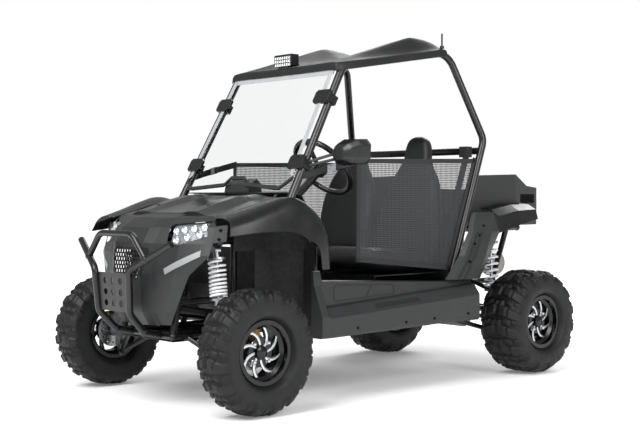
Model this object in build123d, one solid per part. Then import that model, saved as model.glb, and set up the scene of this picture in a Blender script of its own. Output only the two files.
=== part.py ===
"""Two-seat utility vehicle with an open roll cage, side nets, a clear windscreen and double-arm suspension.

Frame: +X forward, +Y to the vehicle's left, +Z up, in millimetres.
The origin is on the ground, under the middle of the overall length.
"""

import os
from math import asin, cos, degrees, pi, radians, sin

from build123d import *

# Driving dimensions of the running gear
WHEELBASE = 1900
FRONT_AXLE_X = 930
FRONT_TRACK = 1185
REAR_TRACK = 1095
TYRE_DIAMETER = 552
FRONT_TYRE_WIDTH = 190
REAR_TYRE_WIDTH = 258
FRONT_RIM_WIDTH = 128
REAR_RIM_WIDTH = 200
BEAD_SEAT_RADIUS = 126.5
RIM_FLANGE_RADIUS = 140
TYRE_WALL = 12
LUG_HEIGHT = 14
SPINDLE_RADIUS = 15
HUB_RADIUS = 30
STEER_AXIS_INSET = 112
STEERING_ARM = 100
BRAKE_DISC_RADIUS = 84

# Driving dimensions of the frame, the cage and the body
FRAME_TUBE = 32
CAGE_TUBE = 38
BUMPER_TUBE = 32
ARM_TUBE = 25
RAIL_Y = 200
RAIL_Z = 316
ARM_RAIL_Z = 470
TOP_RAIL_Z = 736
SIDE_RAIL_Y = 490
PANEL = 4
SEAT_GAP = 0.2
RUNNING_GAP = 0.1

# Places worked out from the driving dimensions
REAR_AXLE_X = FRONT_AXLE_X - WHEELBASE
AXLE_Z = TYRE_DIAMETER / 2
FRONT_WHEEL_Y = FRONT_TRACK / 2
REAR_WHEEL_Y = REAR_TRACK / 2
STEER_AXIS_Y = FRONT_WHEEL_Y - STEER_AXIS_INSET
FRAME_R = FRAME_TUBE / 2
CAGE_R = CAGE_TUBE / 2
FLOOR_Z = RAIL_Z + FRAME_R + SEAT_GAP

pieces = {}


# Helpers

def prism(points, direction):
    """A closed outline of points carried along a direction."""
    outline = Wire.make_polygon([Vector(*p) for p in points])
    return Solid.extrude(Face(outline), Vector(*direction))


def side_prism(outline, y_from, y_to):
    """A prism from an outline in side view, (x, z), carried across the vehicle."""
    return prism([(x, y_from, z) for x, z in outline], (0, y_to - y_from, 0))


def plan_prism(outline, z_from, z_to):
    """A prism from an outline in plan, (x, y), carried upwards."""
    return prism([(x, y, z_from) for x, y in outline], (0, 0, z_to - z_from))


def front_prism(outline, x_from, x_to):
    """A prism from an outline in front view, (y, z), carried forwards."""
    return prism([(x_from, y, z) for y, z in outline], (x_to - x_from, 0, 0))


def block(low, high):
    """A box between two corners."""
    (x0, y0, z0), (x1, y1, z1) = low, high
    return plan_prism([(x0, y0), (x1, y0), (x1, y1), (x0, y1)], z0, z1)


def rod(start, end, radius):
    """A round bar between two points."""
    a, b = Vector(*start), Vector(*end)
    return Solid.make_cylinder(radius, (b - a).length, Plane(origin=a, z_dir=b - a))


def tube(points, diameter, bend=0):
    """A bent round tube along straight runs, with arcs of one radius at its corners."""
    if len(points) == 2:
        return rod(points[0], points[1], diameter / 2)
    path = FilletPolyline(*points, radius=bend)
    section = Plane(origin=path @ 0, z_dir=path % 0) * Circle(diameter / 2)
    return sweep(section, path=path).solid()


def fuse(shapes):
    """One solid from pieces that meet."""
    first, *rest = shapes
    return first.fuse(*rest) if rest else first


def mirrored(shape):
    """The same piece on the other side of the vehicle."""
    return shape.mirror(Plane.XZ)


def both_sides(left):
    """The left piece and its mirror image, as separate solids."""
    return Compound(children=[left, mirrored(left)])


def offset_line(points, normal, distance):
    """An open line moved sideways within its plane, mitred at its corners."""
    line = [Vector(*p) for p in points]
    sides = [normal.cross(b - a).normalized() for a, b in zip(line, line[1:])]
    before = [sides[0]] + sides
    after = sides + [sides[-1]]
    return [
        p + (s + t) * (distance / (1 + s.dot(t))) for p, s, t in zip(line, before, after)
    ]


def skin(stations, normal, thickness=PANEL):
    """A panel of even thickness, lofted straight through open lines that lie in parallel planes."""
    rings = []
    for line in stations:
        inner = offset_line(line, Vector(*normal), thickness)
        rings.append(Wire.make_polygon([Vector(*p) for p in line] + inner[::-1]))
    return Solid.make_loft(rings, ruled=True)


def bent_sheet(outline, y_from, y_to, thickness=PANEL):
    """A folded sheet: an open line in side view, thickened and carried across the vehicle."""
    line = [(x, y_from, z) for x, z in outline]
    inner = offset_line(line, Vector(0, 1, 0), thickness)
    return prism(line + [tuple(p) for p in inner[::-1]], (0, y_to - y_from, 0))


def add(name, shape):
    """Keeps a finished piece under its name."""
    pieces[name] = shape


def along(start, end, share):
    """The point at a share of the way between two points."""
    return tuple(a + (b - a) * share for a, b in zip(start, end))


# Tyres: a hollow faceted carcass with a pair of leaning lugs on each facet

CROWN_RADIUS = TYRE_DIAMETER / 2 - LUG_HEIGHT
TREADS = {
    # axle: (facets round the tyre, lug length round the tyre, lean of a lug between its two ends)
    "front": (16, 44, 30),
    "rear": (16, 50, 36),
}
LUG_FROM = 0.05
LUG_TO = 0.47
BELLY_SHARE = 147 / 271
FOOT_SHARE = 60 / 271


def tyre_section(width, rim_width, facets):
    """The carcass section as a closed ring of (across, radius) at the facets' edges."""
    half = width / 2
    bead = rim_width / 2 - 9 - SEAT_GAP
    seat = (BEAD_SEAT_RADIUS + SEAT_GAP) / cos(pi / facets)
    wall = CROWN_RADIUS - BEAD_SEAT_RADIUS
    belly = BEAD_SEAT_RADIUS + wall * BELLY_SHARE
    outer = [
        (half * 0.62, CROWN_RADIUS - 3), (half * 0.9, CROWN_RADIUS - 20), (half, belly),
        (half * 0.96, BEAD_SEAT_RADIUS + wall * FOOT_SHARE), (bead, BEAD_SEAT_RADIUS + 17), (bead, seat),
    ]
    inner = [
        ((half - TYRE_WALL) * 0.62, CROWN_RADIUS - TYRE_WALL - 3),
        (half - TYRE_WALL, belly - TYRE_WALL),
        (bead - TYRE_WALL, seat),
    ]
    far_outer = [(-a, r) for a, r in outer]
    far_inner = [(-a, r) for a, r in inner]
    return far_outer[::-1] + outer + inner[::-1] + far_inner


def faceted_ring(section, facets):
    """A ring of flat facets about the axle, from a closed section of (across, radius)."""
    turns = [2 * pi * (step + 0.5) / facets for step in range(facets)]
    loops = [[Vector(r * sin(turn), a, r * cos(turn)) for a, r in section] for turn in turns]
    faces = []
    for near, far in zip(loops, loops[1:] + loops[:1]):
        for quad in zip(near, near[1:] + near[:1], far[1:] + far[:1], far):
            faces.append(Face(Wire.make_polygon(list(quad))))
    return Solid(Shell(faces))


def revolved(outline):
    """A ring turned about the axle from an outline of (across, radius)."""
    face = Face(Wire.make_polygon([Vector(0, a, r) for a, r in outline]))
    return Solid.revolve(face, 360, Axis.Y)


def tyre(axle, width, rim_width):
    """A tyre about the origin, with its outer side towards +Y, that stands on two lug corners."""
    facets, length, lean = TREADS[axle]
    carcass = faceted_ring(tyre_section(width, rim_width, facets), facets)
    reach = (length + lean) / 2
    tip = ((TYRE_DIAMETER / 2) ** 2 - reach**2) ** 0.5
    lug_outline = [
        # share of the width and radius, over the tread and the shoulder and back inside the carcass
        (LUG_FROM, tip), (0.33, tip - 4), (LUG_TO, tip - 27),
        (LUG_TO - 0.015, CROWN_RADIUS - 36), (0.3, CROWN_RADIUS - 13), (LUG_FROM, CROWN_RADIUS - 8),
    ]
    corners = []
    for share, radius in lug_outline:
        shift = lean * ((share - LUG_FROM) / (LUG_TO - LUG_FROM) - 0.5)
        corners.append((shift - length / 2, share * width, radius))
    lug = prism(corners, (length, 0, 0))
    lugs = []
    for step in range(facets):
        lugs.append(lug.rotate(Axis.Y, step * 360 / facets))
        lugs.append(mirrored(lugs[-1]))
    standing_turn = degrees(asin(reach / (TYRE_DIAMETER / 2)))
    return carcass.fuse(*lugs).rotate(Axis.Y, standing_turn)


# Rims: a rolled barrel, a dished centre of curved blades and a hub sleeve

BLADES = 8
RIM_WALL = 5
FACE_DEPTH = 38
FACE_THICKNESS = 10
WHEEL_BOLT_CIRCLE = 110
WHEEL_BOLTS = 4
WHEEL_BOLT_RADIUS = 6
RIM_WELL_RADIUS = BEAD_SEAT_RADIUS - 16
RIM_INNER_RADIUS = RIM_WELL_RADIUS - RIM_WALL


def across(y, radius, length):
    """A cylinder about the axle that starts at y and runs along +Y, or -Y for a negative length."""
    way = 1 if length > 0 else -1
    return Solid.make_cylinder(radius, abs(length), Plane((0, y, 0), z_dir=(0, way, 0)))


def rim(rim_width, hub_reach):
    """A rim and hub about the origin, with its outer side towards +Y."""
    half = rim_width / 2
    seat = BEAD_SEAT_RADIUS
    well = RIM_WELL_RADIUS
    outside = [
        (-half, RIM_FLANGE_RADIUS), (-half + 8, RIM_FLANGE_RADIUS), (-half + 9, seat),
        (-half + 26, seat), (-half + 38, well), (half - 38, well), (half - 26, seat),
        (half - 9, seat), (half - 8, RIM_FLANGE_RADIUS), (half, RIM_FLANGE_RADIUS),
    ]
    inside = [
        (half, seat - RIM_WALL), (half - 26, seat - RIM_WALL), (half - 38, RIM_INNER_RADIUS),
        (-half + 38, RIM_INNER_RADIUS), (-half + 26, seat - RIM_WALL), (-half, seat - RIM_WALL),
    ]
    face_y = half - FACE_DEPTH
    reach = RIM_INNER_RADIUS + RIM_WALL / 2
    outline = [
        # angle in degrees and radius of a blade's corners, from its root round to its tip
        (-10, 30), (14, 30), (24, 70), (38, reach), (30, reach), (12, 72),
    ]
    corners = [(r * sin(radians(a)), face_y, r * cos(radians(a))) for a, r in outline]
    blade = prism(corners, (0, -FACE_THICKNESS, 0))
    blades = [blade.rotate(Axis.Y, step * 360 / BLADES) for step in range(BLADES)]
    centre = across(face_y, 64, -FACE_THICKNESS)
    sleeve = across(face_y, HUB_RADIUS, -hub_reach)
    cap = across(face_y, 22, 16)
    body = fuse([revolved(outside + inside), centre, sleeve, cap] + blades)
    cuts = [across(face_y - hub_reach, SPINDLE_RADIUS + RUNNING_GAP, hub_reach - 6)]
    for step in range(WHEEL_BOLTS):
        hole = Pos(0, 0, WHEEL_BOLT_CIRCLE / 2) * across(face_y + 4, WHEEL_BOLT_RADIUS, -2 * FACE_THICKNESS)
        cuts.append(hole.rotate(Axis.Y, 45 + step * 360 / WHEEL_BOLTS))
    return body.cut(*cuts)


FRONT_HUB_REACH = 78
REAR_HUB_REACH = 110
WHEELS = [
    # axle, its x, wheel plane y, tyre width, rim width, hub reach inboard of the face
    ("front", FRONT_AXLE_X, FRONT_WHEEL_Y, FRONT_TYRE_WIDTH, FRONT_RIM_WIDTH, FRONT_HUB_REACH),
    ("rear", REAR_AXLE_X, REAR_WHEEL_Y, REAR_TYRE_WIDTH, REAR_RIM_WIDTH, REAR_HUB_REACH),
]

for axle, axle_x, wheel_y, tyre_width, rim_width, hub_reach in WHEELS:
    place = Pos(axle_x, wheel_y, AXLE_Z)
    left_tyre = place * tyre(axle, tyre_width, rim_width)
    left_rim = place * rim(rim_width, hub_reach)
    add(f"{axle}_left_tyre", left_tyre)
    add(f"{axle}_right_tyre", mirrored(left_tyre))
    add(f"{axle}_left_rim", left_rim)
    add(f"{axle}_right_rim", mirrored(left_rim))

# Inner ends of the hub sleeves, where the hubs meet the knuckles and the rear carriers
FRONT_HUB_Y = FRONT_WHEEL_Y + FRONT_RIM_WIDTH / 2 - FACE_DEPTH - FRONT_HUB_REACH
REAR_HUB_Y = REAR_WHEEL_Y + REAR_RIM_WIDTH / 2 - FACE_DEPTH - REAR_HUB_REACH
HUB_GAP = 0.5


# Front brake discs: steel rings clamped round the hub sleeves

DISC_THICKNESS = 4
DISC_Y = FRONT_HUB_Y + 14
disc = across(DISC_Y, BRAKE_DISC_RADIUS, DISC_THICKNESS) - across(DISC_Y - 1, HUB_RADIUS + SEAT_GAP, 20)
for step in range(12):
    vent = Pos(0, 0, 64) * across(DISC_Y - 1, 5, DISC_THICKNESS + 2)
    disc = disc - vent.rotate(Axis.Y, step * 30)
left_disc = Pos(FRONT_AXLE_X, 0, AXLE_Z) * disc
add("front_left_brake_disc", left_disc)
add("front_right_brake_disc", mirrored(left_disc))


# Front knuckles: an upright on the steering axis, a spindle into the hub and a steering arm

LOWER_JOINT_Z = AXLE_Z - 70
UPPER_JOINT_Z = AXLE_Z + 90
JOINT_GAP = 0.3
UPRIGHT_WIDTH = 36
SPINDLE_END = FRONT_HUB_Y + FRONT_HUB_REACH - 12
ARM_END_Y = STEER_AXIS_Y - 18
ARM_END_X = FRONT_AXLE_X - STEERING_ARM
STEER_ARM_Z = AXLE_Z + 24
STEER_ARM_THICKNESS = 14

upright = block(
    (FRONT_AXLE_X - 22, STEER_AXIS_Y - UPRIGHT_WIDTH / 2, LOWER_JOINT_Z),
    (FRONT_AXLE_X + 22, STEER_AXIS_Y + UPRIGHT_WIDTH / 2, UPPER_JOINT_Z),
)
bearing = rod(
    (FRONT_AXLE_X, STEER_AXIS_Y, AXLE_Z), (FRONT_AXLE_X, FRONT_HUB_Y - HUB_GAP, AXLE_Z), HUB_RADIUS - 2
)
spindle = rod((FRONT_AXLE_X, STEER_AXIS_Y, AXLE_Z), (FRONT_AXLE_X, SPINDLE_END, AXLE_Z), SPINDLE_RADIUS)
steering_arm = plan_prism(
    [
        (FRONT_AXLE_X - 12, STEER_AXIS_Y + 12), (FRONT_AXLE_X - 12, STEER_AXIS_Y - 16),
        (ARM_END_X - 14, ARM_END_Y - 14), (ARM_END_X - 14, ARM_END_Y + 14),
    ],
    STEER_ARM_Z,
    STEER_ARM_Z + STEER_ARM_THICKNESS,
)
CALIPER_Z = AXLE_Z + 62
CALIPER_HALF_LENGTH = 34
bracket = block(
    (FRONT_AXLE_X - 22, STEER_AXIS_Y, CALIPER_Z - 14),
    (FRONT_AXLE_X + 22, DISC_Y - 16, CALIPER_Z + 20),
)
left_knuckle = fuse([upright, bearing, spindle, steering_arm, bracket])
add("front_left_knuckle", left_knuckle)
add("front_right_knuckle", mirrored(left_knuckle))

# Brake calipers: a slotted block over the disc's edge, seated on the knuckle's bracket
caliper = block(
    (FRONT_AXLE_X - CALIPER_HALF_LENGTH, DISC_Y - 16 + SEAT_GAP, CALIPER_Z - 14),
    (FRONT_AXLE_X + CALIPER_HALF_LENGTH, DISC_Y + DISC_THICKNESS + 14, CALIPER_Z + 32),
)
slot = block(
    (FRONT_AXLE_X - 100, DISC_Y - 5, CALIPER_Z - 60),
    (FRONT_AXLE_X + 100, DISC_Y + DISC_THICKNESS + 5, CALIPER_Z + 25),
)
left_caliper = caliper - slot
add("front_left_caliper", left_caliper)
add("front_right_caliper", mirrored(left_caliper))


# Main frame: bent and straight steel tubes welded into one

WELD = 3
WELD_LATITUDE = 70
LEG_RUN_PAST = 0.013
WELD_FLAT = (FRAME_R + WELD) * sin(radians(WELD_LATITUDE))
COWL_X = 626
COWL_Z = 880
COWL_Y = 452
SIDE_POST_X = 512
FRONT_CROSS_X = 1090
SIDE_POST_TOP = 720
FRONT_POST_X = 750
TOP_FRONT_X = 1010
ARM_RAIL_FRONT_X = 1062
REAR_CROSS_X = -470
REAR_END_X = -1090
TAIL_RAIL_Y = 300
TAIL_RAIL_Z = 767
REAR_ARM_RAIL_X = -860
FRONT_SHOCK_X = 948
FRONT_SHOCK_BAR_Y = 352
REAR_SHOCK_X = -905
REAR_SHOCK_BAR_Y = 362

leg_joint = (REAR_CROSS_X, TAIL_RAIL_Y, RAIL_Z)
leg_head = (-590, TAIL_RAIL_Y, TAIL_RAIL_Z)
leg_foot = along(leg_joint, leg_head, -LEG_RUN_PAST)
frame_runs = [
    # Left-hand runs, each with its points
    [(FRONT_CROSS_X, RAIL_Y, RAIL_Z), (REAR_END_X, RAIL_Y, RAIL_Z)],
    [(FRONT_CROSS_X, RAIL_Y, RAIL_Z), (ARM_RAIL_FRONT_X, RAIL_Y, ARM_RAIL_Z)],
    [(ARM_RAIL_FRONT_X, RAIL_Y, ARM_RAIL_Z), (TOP_FRONT_X, RAIL_Y, TOP_RAIL_Z)],
    [(ARM_RAIL_FRONT_X, RAIL_Y, ARM_RAIL_Z), (FRONT_POST_X, RAIL_Y, ARM_RAIL_Z)],
    [(FRONT_POST_X, RAIL_Y, RAIL_Z), (FRONT_POST_X, RAIL_Y, TOP_RAIL_Z)],
    [(TOP_FRONT_X, RAIL_Y, TOP_RAIL_Z), (FRONT_POST_X, RAIL_Y, TOP_RAIL_Z)],
    [(FRONT_POST_X, RAIL_Y, TOP_RAIL_Z), (COWL_X, RAIL_Y + 40, COWL_Z)],
    [(SIDE_POST_X, SIDE_RAIL_Y, RAIL_Z), (REAR_CROSS_X, SIDE_RAIL_Y, RAIL_Z)],
    [(SIDE_POST_X, SIDE_RAIL_Y, RAIL_Z), (SIDE_POST_X, SIDE_RAIL_Y, SIDE_POST_TOP)],
    [(SIDE_POST_X, SIDE_RAIL_Y, SIDE_POST_TOP), (COWL_X, COWL_Y, COWL_Z)],
    [leg_foot, leg_head],
    [(-590, TAIL_RAIL_Y, TAIL_RAIL_Z), (-1180, TAIL_RAIL_Y, TAIL_RAIL_Z)],
    [(REAR_END_X, RAIL_Y, RAIL_Z), (REAR_END_X, RAIL_Y, ARM_RAIL_Z)],
    [(REAR_END_X, RAIL_Y, ARM_RAIL_Z), (REAR_END_X, TAIL_RAIL_Y, TAIL_RAIL_Z)],
    [(REAR_ARM_RAIL_X, RAIL_Y, ARM_RAIL_Z), (REAR_END_X, RAIL_Y, ARM_RAIL_Z)],
    [(REAR_ARM_RAIL_X, RAIL_Y, RAIL_Z), (REAR_ARM_RAIL_X, RAIL_Y, ARM_RAIL_Z)],
    [(REAR_ARM_RAIL_X, RAIL_Y, ARM_RAIL_Z), (REAR_ARM_RAIL_X, TAIL_RAIL_Y, TAIL_RAIL_Z)],
]
frame_crosses = [
    # x, half length, z of the tubes that run across
    (FRONT_CROSS_X, RAIL_Y, RAIL_Z),
    (TOP_FRONT_X, RAIL_Y, TOP_RAIL_Z),
    (FRONT_POST_X, RAIL_Y, TOP_RAIL_Z),
    (FRONT_SHOCK_X, FRONT_SHOCK_BAR_Y, TOP_RAIL_Z),
    (COWL_X, COWL_Y + 18, COWL_Z),
    (SIDE_POST_X, SIDE_RAIL_Y, RAIL_Z),
    (60, SIDE_RAIL_Y, RAIL_Z),
    (REAR_CROSS_X, SIDE_RAIL_Y, RAIL_Z),
    (REAR_END_X, RAIL_Y, RAIL_Z),
    (REAR_SHOCK_X, REAR_SHOCK_BAR_Y, TAIL_RAIL_Z),
    (-590, TAIL_RAIL_Y, TAIL_RAIL_Z),
    (-1180, TAIL_RAIL_Y, TAIL_RAIL_Z),
]
frame_tubes = []
welds = set()
for points in frame_runs:
    frame_tubes.append(tube(points, FRAME_TUBE))
    frame_tubes.append(tube([(x, -y, z) for x, y, z in points], FRAME_TUBE))
    welds.update(points)
    welds.update((x, -y, z) for x, y, z in points)
for x, half, z in frame_crosses:
    frame_tubes.append(tube([(x, -half, z), (x, half, z)], FRAME_TUBE))
    welds.update([(x, -half, z), (x, half, z)])
tee_ends = [
    leg_foot,
    (COWL_X, RAIL_Y + 40, COWL_Z),
    (COWL_X, COWL_Y, COWL_Z),
    (COWL_X, COWL_Y + 18, COWL_Z),
]
for x, y, z in tee_ends:
    welds.discard((x, y, z))
    welds.discard((x, -y, z))
welds.update([leg_joint, (leg_joint[0], -leg_joint[1], leg_joint[2])])
weld_ball = Solid.make_sphere(FRAME_R + WELD, angle1=-WELD_LATITUDE, angle2=WELD_LATITUDE)
frame_tubes += [Pos(*p) * weld_ball for p in sorted(welds)]
main_frame = fuse(frame_tubes).solids().sort_by(SortBy.VOLUME)[-1]
add("main_frame", main_frame)


# Roll cage: two side hoops and three cross tubes, footed on the frame

PILLAR_TOP = (247, 399, 1563)
ROOF_REAR = (-506, 383, 1688)
CAGE_KINK = (-660, 500, 1237)
LEG_FOOT = (-372, 496, 420)
CAGE_BEND = 90
hoop = tube([(COWL_X, COWL_Y - 22, COWL_Z), PILLAR_TOP, ROOF_REAR, CAGE_KINK, LEG_FOOT], CAGE_TUBE, CAGE_BEND)
foot = tube([LEG_FOOT, (LEG_FOOT[0], SIDE_RAIL_Y, RAIL_Z)], CAGE_TUBE)
CROSS_SHARE = 0.12
BELT_BAR_SHARE = 0.07


BELT_BAR = along(CAGE_KINK, LEG_FOOT, BELT_BAR_SHARE)
cross_ends = [
    along(PILLAR_TOP, ROOF_REAR, CROSS_SHARE),
    along(ROOF_REAR, PILLAR_TOP, CROSS_SHARE),
    BELT_BAR,
]
crosses = [tube([(x, -y, z), (x, y, z)], CAGE_TUBE) for x, y, z in cross_ends]
ankle = Pos(*LEG_FOOT) * Solid.make_sphere(CAGE_R + 0.5)
left_hoop = fuse([hoop, foot, ankle])
cage = fuse([left_hoop, mirrored(left_hoop)] + crosses)
saddles = []
for side in (1, -1):
    saddles.append(
        rod(
            (SIDE_POST_X, side * SIDE_RAIL_Y, RAIL_Z),
            (REAR_CROSS_X, side * SIDE_RAIL_Y, RAIL_Z),
            FRAME_R + SEAT_GAP,
        )
    )
    saddles.append(block((-600, side * 300 - 260, 200), (0, side * 300 + 260, RAIL_Z)))
    top = (COWL_X, side * COWL_Y, COWL_Z)
    saddles.append(rod((SIDE_POST_X, side * SIDE_RAIL_Y, SIDE_POST_TOP), top, FRAME_R + SEAT_GAP))
    saddles.append(Pos(*top) * Solid.make_sphere(FRAME_R + WELD + SEAT_GAP))
saddles.append(rod((COWL_X, -COWL_Y - 19, COWL_Z), (COWL_X, COWL_Y + 19, COWL_Z), FRAME_R + SEAT_GAP))
saddles.append(block((COWL_X - 100, -500, COWL_Z - 120), (COWL_X + 100, 500, COWL_Z)))
roll_cage = cage.cut(*saddles)
add("roll_cage", roll_cage)


# Suspension arms: tube legs from bushes on the frame to the ball joints

BUSH_R = 15
BUSH_LENGTH = 44
BALL_R = 17
PIVOT_Y = RAIL_Y + FRAME_R + BUSH_R + SEAT_GAP
BALL_REACH = 33
REAR_LOWER_Z = AXLE_Z - 60
REAR_UPPER_Z = AXLE_Z + 62
FRONT_LOWER_JOINT = (FRONT_AXLE_X, STEER_AXIS_Y, LOWER_JOINT_Z - JOINT_GAP - BALL_REACH)
FRONT_UPPER_JOINT = (FRONT_AXLE_X, STEER_AXIS_Y, UPPER_JOINT_Z + JOINT_GAP + BALL_REACH)
CARRIER_Y = REAR_HUB_Y - 46
REAR_LOWER_JOINT = (REAR_AXLE_X, CARRIER_Y, REAR_LOWER_Z - JOINT_GAP - BALL_REACH)
REAR_UPPER_JOINT = (REAR_AXLE_X, CARRIER_Y, REAR_UPPER_Z + JOINT_GAP + BALL_REACH)


def wishbone(joint, bush_xs, bush_z, way):
    """Two tube legs from bushes beside the frame to one ball joint, which reaches up or down."""
    x, y, z = joint
    shapes = [rod((x, y, z - way * BALL_R), (x, y, z + way * BALL_REACH), BALL_R)]
    for x in bush_xs:
        ends = [(x + way_out * BUSH_LENGTH / 2, PIVOT_Y, bush_z) for way_out in (-1, 1)]
        shapes.append(rod(*ends, BUSH_R))
        shapes.append(tube([(x, PIVOT_Y, bush_z), joint], ARM_TUBE))
    return fuse(shapes)


FRONT_LOWER_BUSHES = (830, 1035)
FRONT_UPPER_BUSHES = (790, 868)
REAR_LOWER_BUSHES = (-560, -1010)
REAR_UPPER_BUSHES = (-900, -1040)
front_arms = [
    wishbone(FRONT_LOWER_JOINT, FRONT_LOWER_BUSHES, RAIL_Z, 1),
    wishbone(FRONT_UPPER_JOINT, FRONT_UPPER_BUSHES, ARM_RAIL_Z, -1),
]
rear_arms = [
    wishbone(REAR_LOWER_JOINT, REAR_LOWER_BUSHES, RAIL_Z, 1),
    wishbone(REAR_UPPER_JOINT, REAR_UPPER_BUSHES, ARM_RAIL_Z, -1),
]

# Rear hub carriers: uprights between the rear arms, with the spindles the rear hubs turn on
carrier = fuse([
    block(
        (REAR_AXLE_X - 26, CARRIER_Y - 20, REAR_LOWER_Z),
        (REAR_AXLE_X + 26, CARRIER_Y + 20, REAR_UPPER_Z),
    ),
    rod((REAR_AXLE_X, CARRIER_Y, AXLE_Z), (REAR_AXLE_X, REAR_HUB_Y - HUB_GAP, AXLE_Z), HUB_RADIUS + 4),
    rod(
        (REAR_AXLE_X, CARRIER_Y, AXLE_Z),
        (REAR_AXLE_X, REAR_HUB_Y + REAR_HUB_REACH - 12, AXLE_Z),
        SPINDLE_RADIUS,
    ),
])
SHAFT_R = 12
carrier = carrier - rod((REAR_AXLE_X, 0, AXLE_Z), (REAR_AXLE_X, CARRIER_Y - 8, AXLE_Z), SHAFT_R + SEAT_GAP)
add("rear_hub_carriers", both_sides(carrier))


# Coil-over dampers: a body, a rod, two spring seats and an eye at each end

EYE_R = 15
EYE_LENGTH = 30
SPRING_R = 35.5
SPRING_WIRE = 11
DAMPER_BODY_R = 22


def lower_eye(joint, bush_x, bush_z, share):
    """The place of a damper's lower eye, seated on top of an arm's leg."""
    x, y, z = along((bush_x, PIVOT_Y, bush_z), joint, share)
    return (x, y, z + ARM_TUBE / 2 + EYE_R + 9)


def damper(bottom, top, seats):
    """A damper between two eye centres, with spring seats at two shares of its length."""
    low, high = (along(bottom, top, share) for share in seats)
    shapes = [
        rod((bottom[0] - EYE_LENGTH / 2,) + bottom[1:], (bottom[0] + EYE_LENGTH / 2,) + bottom[1:], EYE_R),
        rod((top[0] - EYE_LENGTH / 2,) + top[1:], (top[0] + EYE_LENGTH / 2,) + top[1:], EYE_R),
        rod(along(bottom, top, 0.05), low, DAMPER_BODY_R),
        rod(bottom, top, 8),
        rod(along(bottom, top, seats[0] - 0.02), low, SPRING_R + SPRING_WIRE / 2),
        rod(high, along(bottom, top, seats[1] + 0.02), SPRING_R + SPRING_WIRE / 2),
        rod(along(bottom, top, seats[1]), top, 13),
    ]
    return fuse(shapes)


def spring(bottom, top, seats, turns):
    """A round-wire coil between the two seats, laid as short straight runs with mitred joints."""
    low, high = (Vector(*along(bottom, top, share)) for share in seats)
    axis = high - low
    frame = Plane(origin=low, z_dir=axis)
    rise = axis.length - SPRING_WIRE - 2 * SEAT_GAP
    steps = 12
    count = turns * steps
    points = []
    for i in range(count + 1):
        angle = 2 * pi * i / steps
        height = SPRING_WIRE / 2 + SEAT_GAP + rise * i / count
        points.append(frame.from_local_coords(Vector(SPRING_R * cos(angle), SPRING_R * sin(angle), height)))
    path = Wire.make_polygon(points, close=False)
    start = Plane(origin=points[0], z_dir=points[1] - points[0])
    section = start * RegularPolygon(SPRING_WIRE / 2, 6)
    return sweep(section, path=path, transition=Transition.RIGHT).solid()


FRONT_SHOCK_TOP = (FRONT_SHOCK_X, FRONT_SHOCK_BAR_Y - 22, TOP_RAIL_Z - FRAME_R - EYE_R - SEAT_GAP)
FRONT_SHOCK_FOOT = lower_eye(FRONT_LOWER_JOINT, FRONT_LOWER_BUSHES[1], RAIL_Z, 0.66)
REAR_SHOCK_TOP = (REAR_SHOCK_X, REAR_SHOCK_BAR_Y - 22, TAIL_RAIL_Z - FRAME_R - EYE_R - SEAT_GAP)
REAR_SHOCK_FOOT = lower_eye(REAR_LOWER_JOINT, REAR_LOWER_BUSHES[0], RAIL_Z, 0.74)
FRONT_SPRING_SEATS = (0.52, 0.9)
REAR_SPRING_SEATS = (0.38, 0.9)
FRONT_SPRING_TURNS = 9
REAR_SPRING_TURNS = 7


def shock_pad(foot):
    """A pad welded on an arm's leg, with a damper's lower eye seated on top of it."""
    x, y, z = foot
    return block((x - 14, y - 14, z - EYE_R - SEAT_GAP - 20), (x + 14, y + 14, z - EYE_R - SEAT_GAP))


front_arms[0] = fuse([front_arms[0], shock_pad(FRONT_SHOCK_FOOT)])
rear_arms[0] = fuse([rear_arms[0], shock_pad(REAR_SHOCK_FOOT)])
add("front_arms", Compound(children=front_arms + [mirrored(arm) for arm in front_arms]))
add("rear_arms", Compound(children=rear_arms + [mirrored(arm) for arm in rear_arms]))
add("front_dampers", both_sides(damper(FRONT_SHOCK_FOOT, FRONT_SHOCK_TOP, FRONT_SPRING_SEATS)))
add("rear_dampers", both_sides(damper(REAR_SHOCK_FOOT, REAR_SHOCK_TOP, REAR_SPRING_SEATS)))
front_spring = spring(FRONT_SHOCK_FOOT, FRONT_SHOCK_TOP, FRONT_SPRING_SEATS, FRONT_SPRING_TURNS)
rear_spring = spring(REAR_SHOCK_FOOT, REAR_SHOCK_TOP, REAR_SPRING_SEATS, REAR_SPRING_TURNS)
add("front_springs", both_sides(front_spring))
add("rear_springs", both_sides(rear_spring))


# Steering: rack housing, sliding bar with its rods, column and wheel

RACK_Z = 392
RACK_BAR_R = 11
HOUSING_R = 23
HOUSING_HALF = 118
INNER_BALL_Y = 186
TIE_ROD_R = 8
TIE_BALL_R = 12
TIE_GAP = 8
TIE_END = (ARM_END_X, ARM_END_Y, STEER_ARM_Z - TIE_GAP - TIE_BALL_R)
housing = rod((ARM_END_X, -HOUSING_HALF, RACK_Z), (ARM_END_X, HOUSING_HALF, RACK_Z), HOUSING_R)
RACK_FOOT_X = FRONT_POST_X + FRAME_R + SEAT_GAP
stand = block((RACK_FOOT_X, -60, RACK_Z - 18), (ARM_END_X, 60, RACK_Z + 18))
strap = block((RACK_FOOT_X, -RAIL_Y - 10, RACK_Z - 16), (RACK_FOOT_X + 8, RAIL_Y + 10, RACK_Z + 16))
housing = fuse([housing, stand, strap])
housing = housing - rod((ARM_END_X, -200, RACK_Z), (ARM_END_X, 200, RACK_Z), RACK_BAR_R + RUNNING_GAP)
add("steering_rack", housing)
tie_rods = [rod((ARM_END_X, -INNER_BALL_Y, RACK_Z), (ARM_END_X, INNER_BALL_Y, RACK_Z), RACK_BAR_R)]
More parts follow.
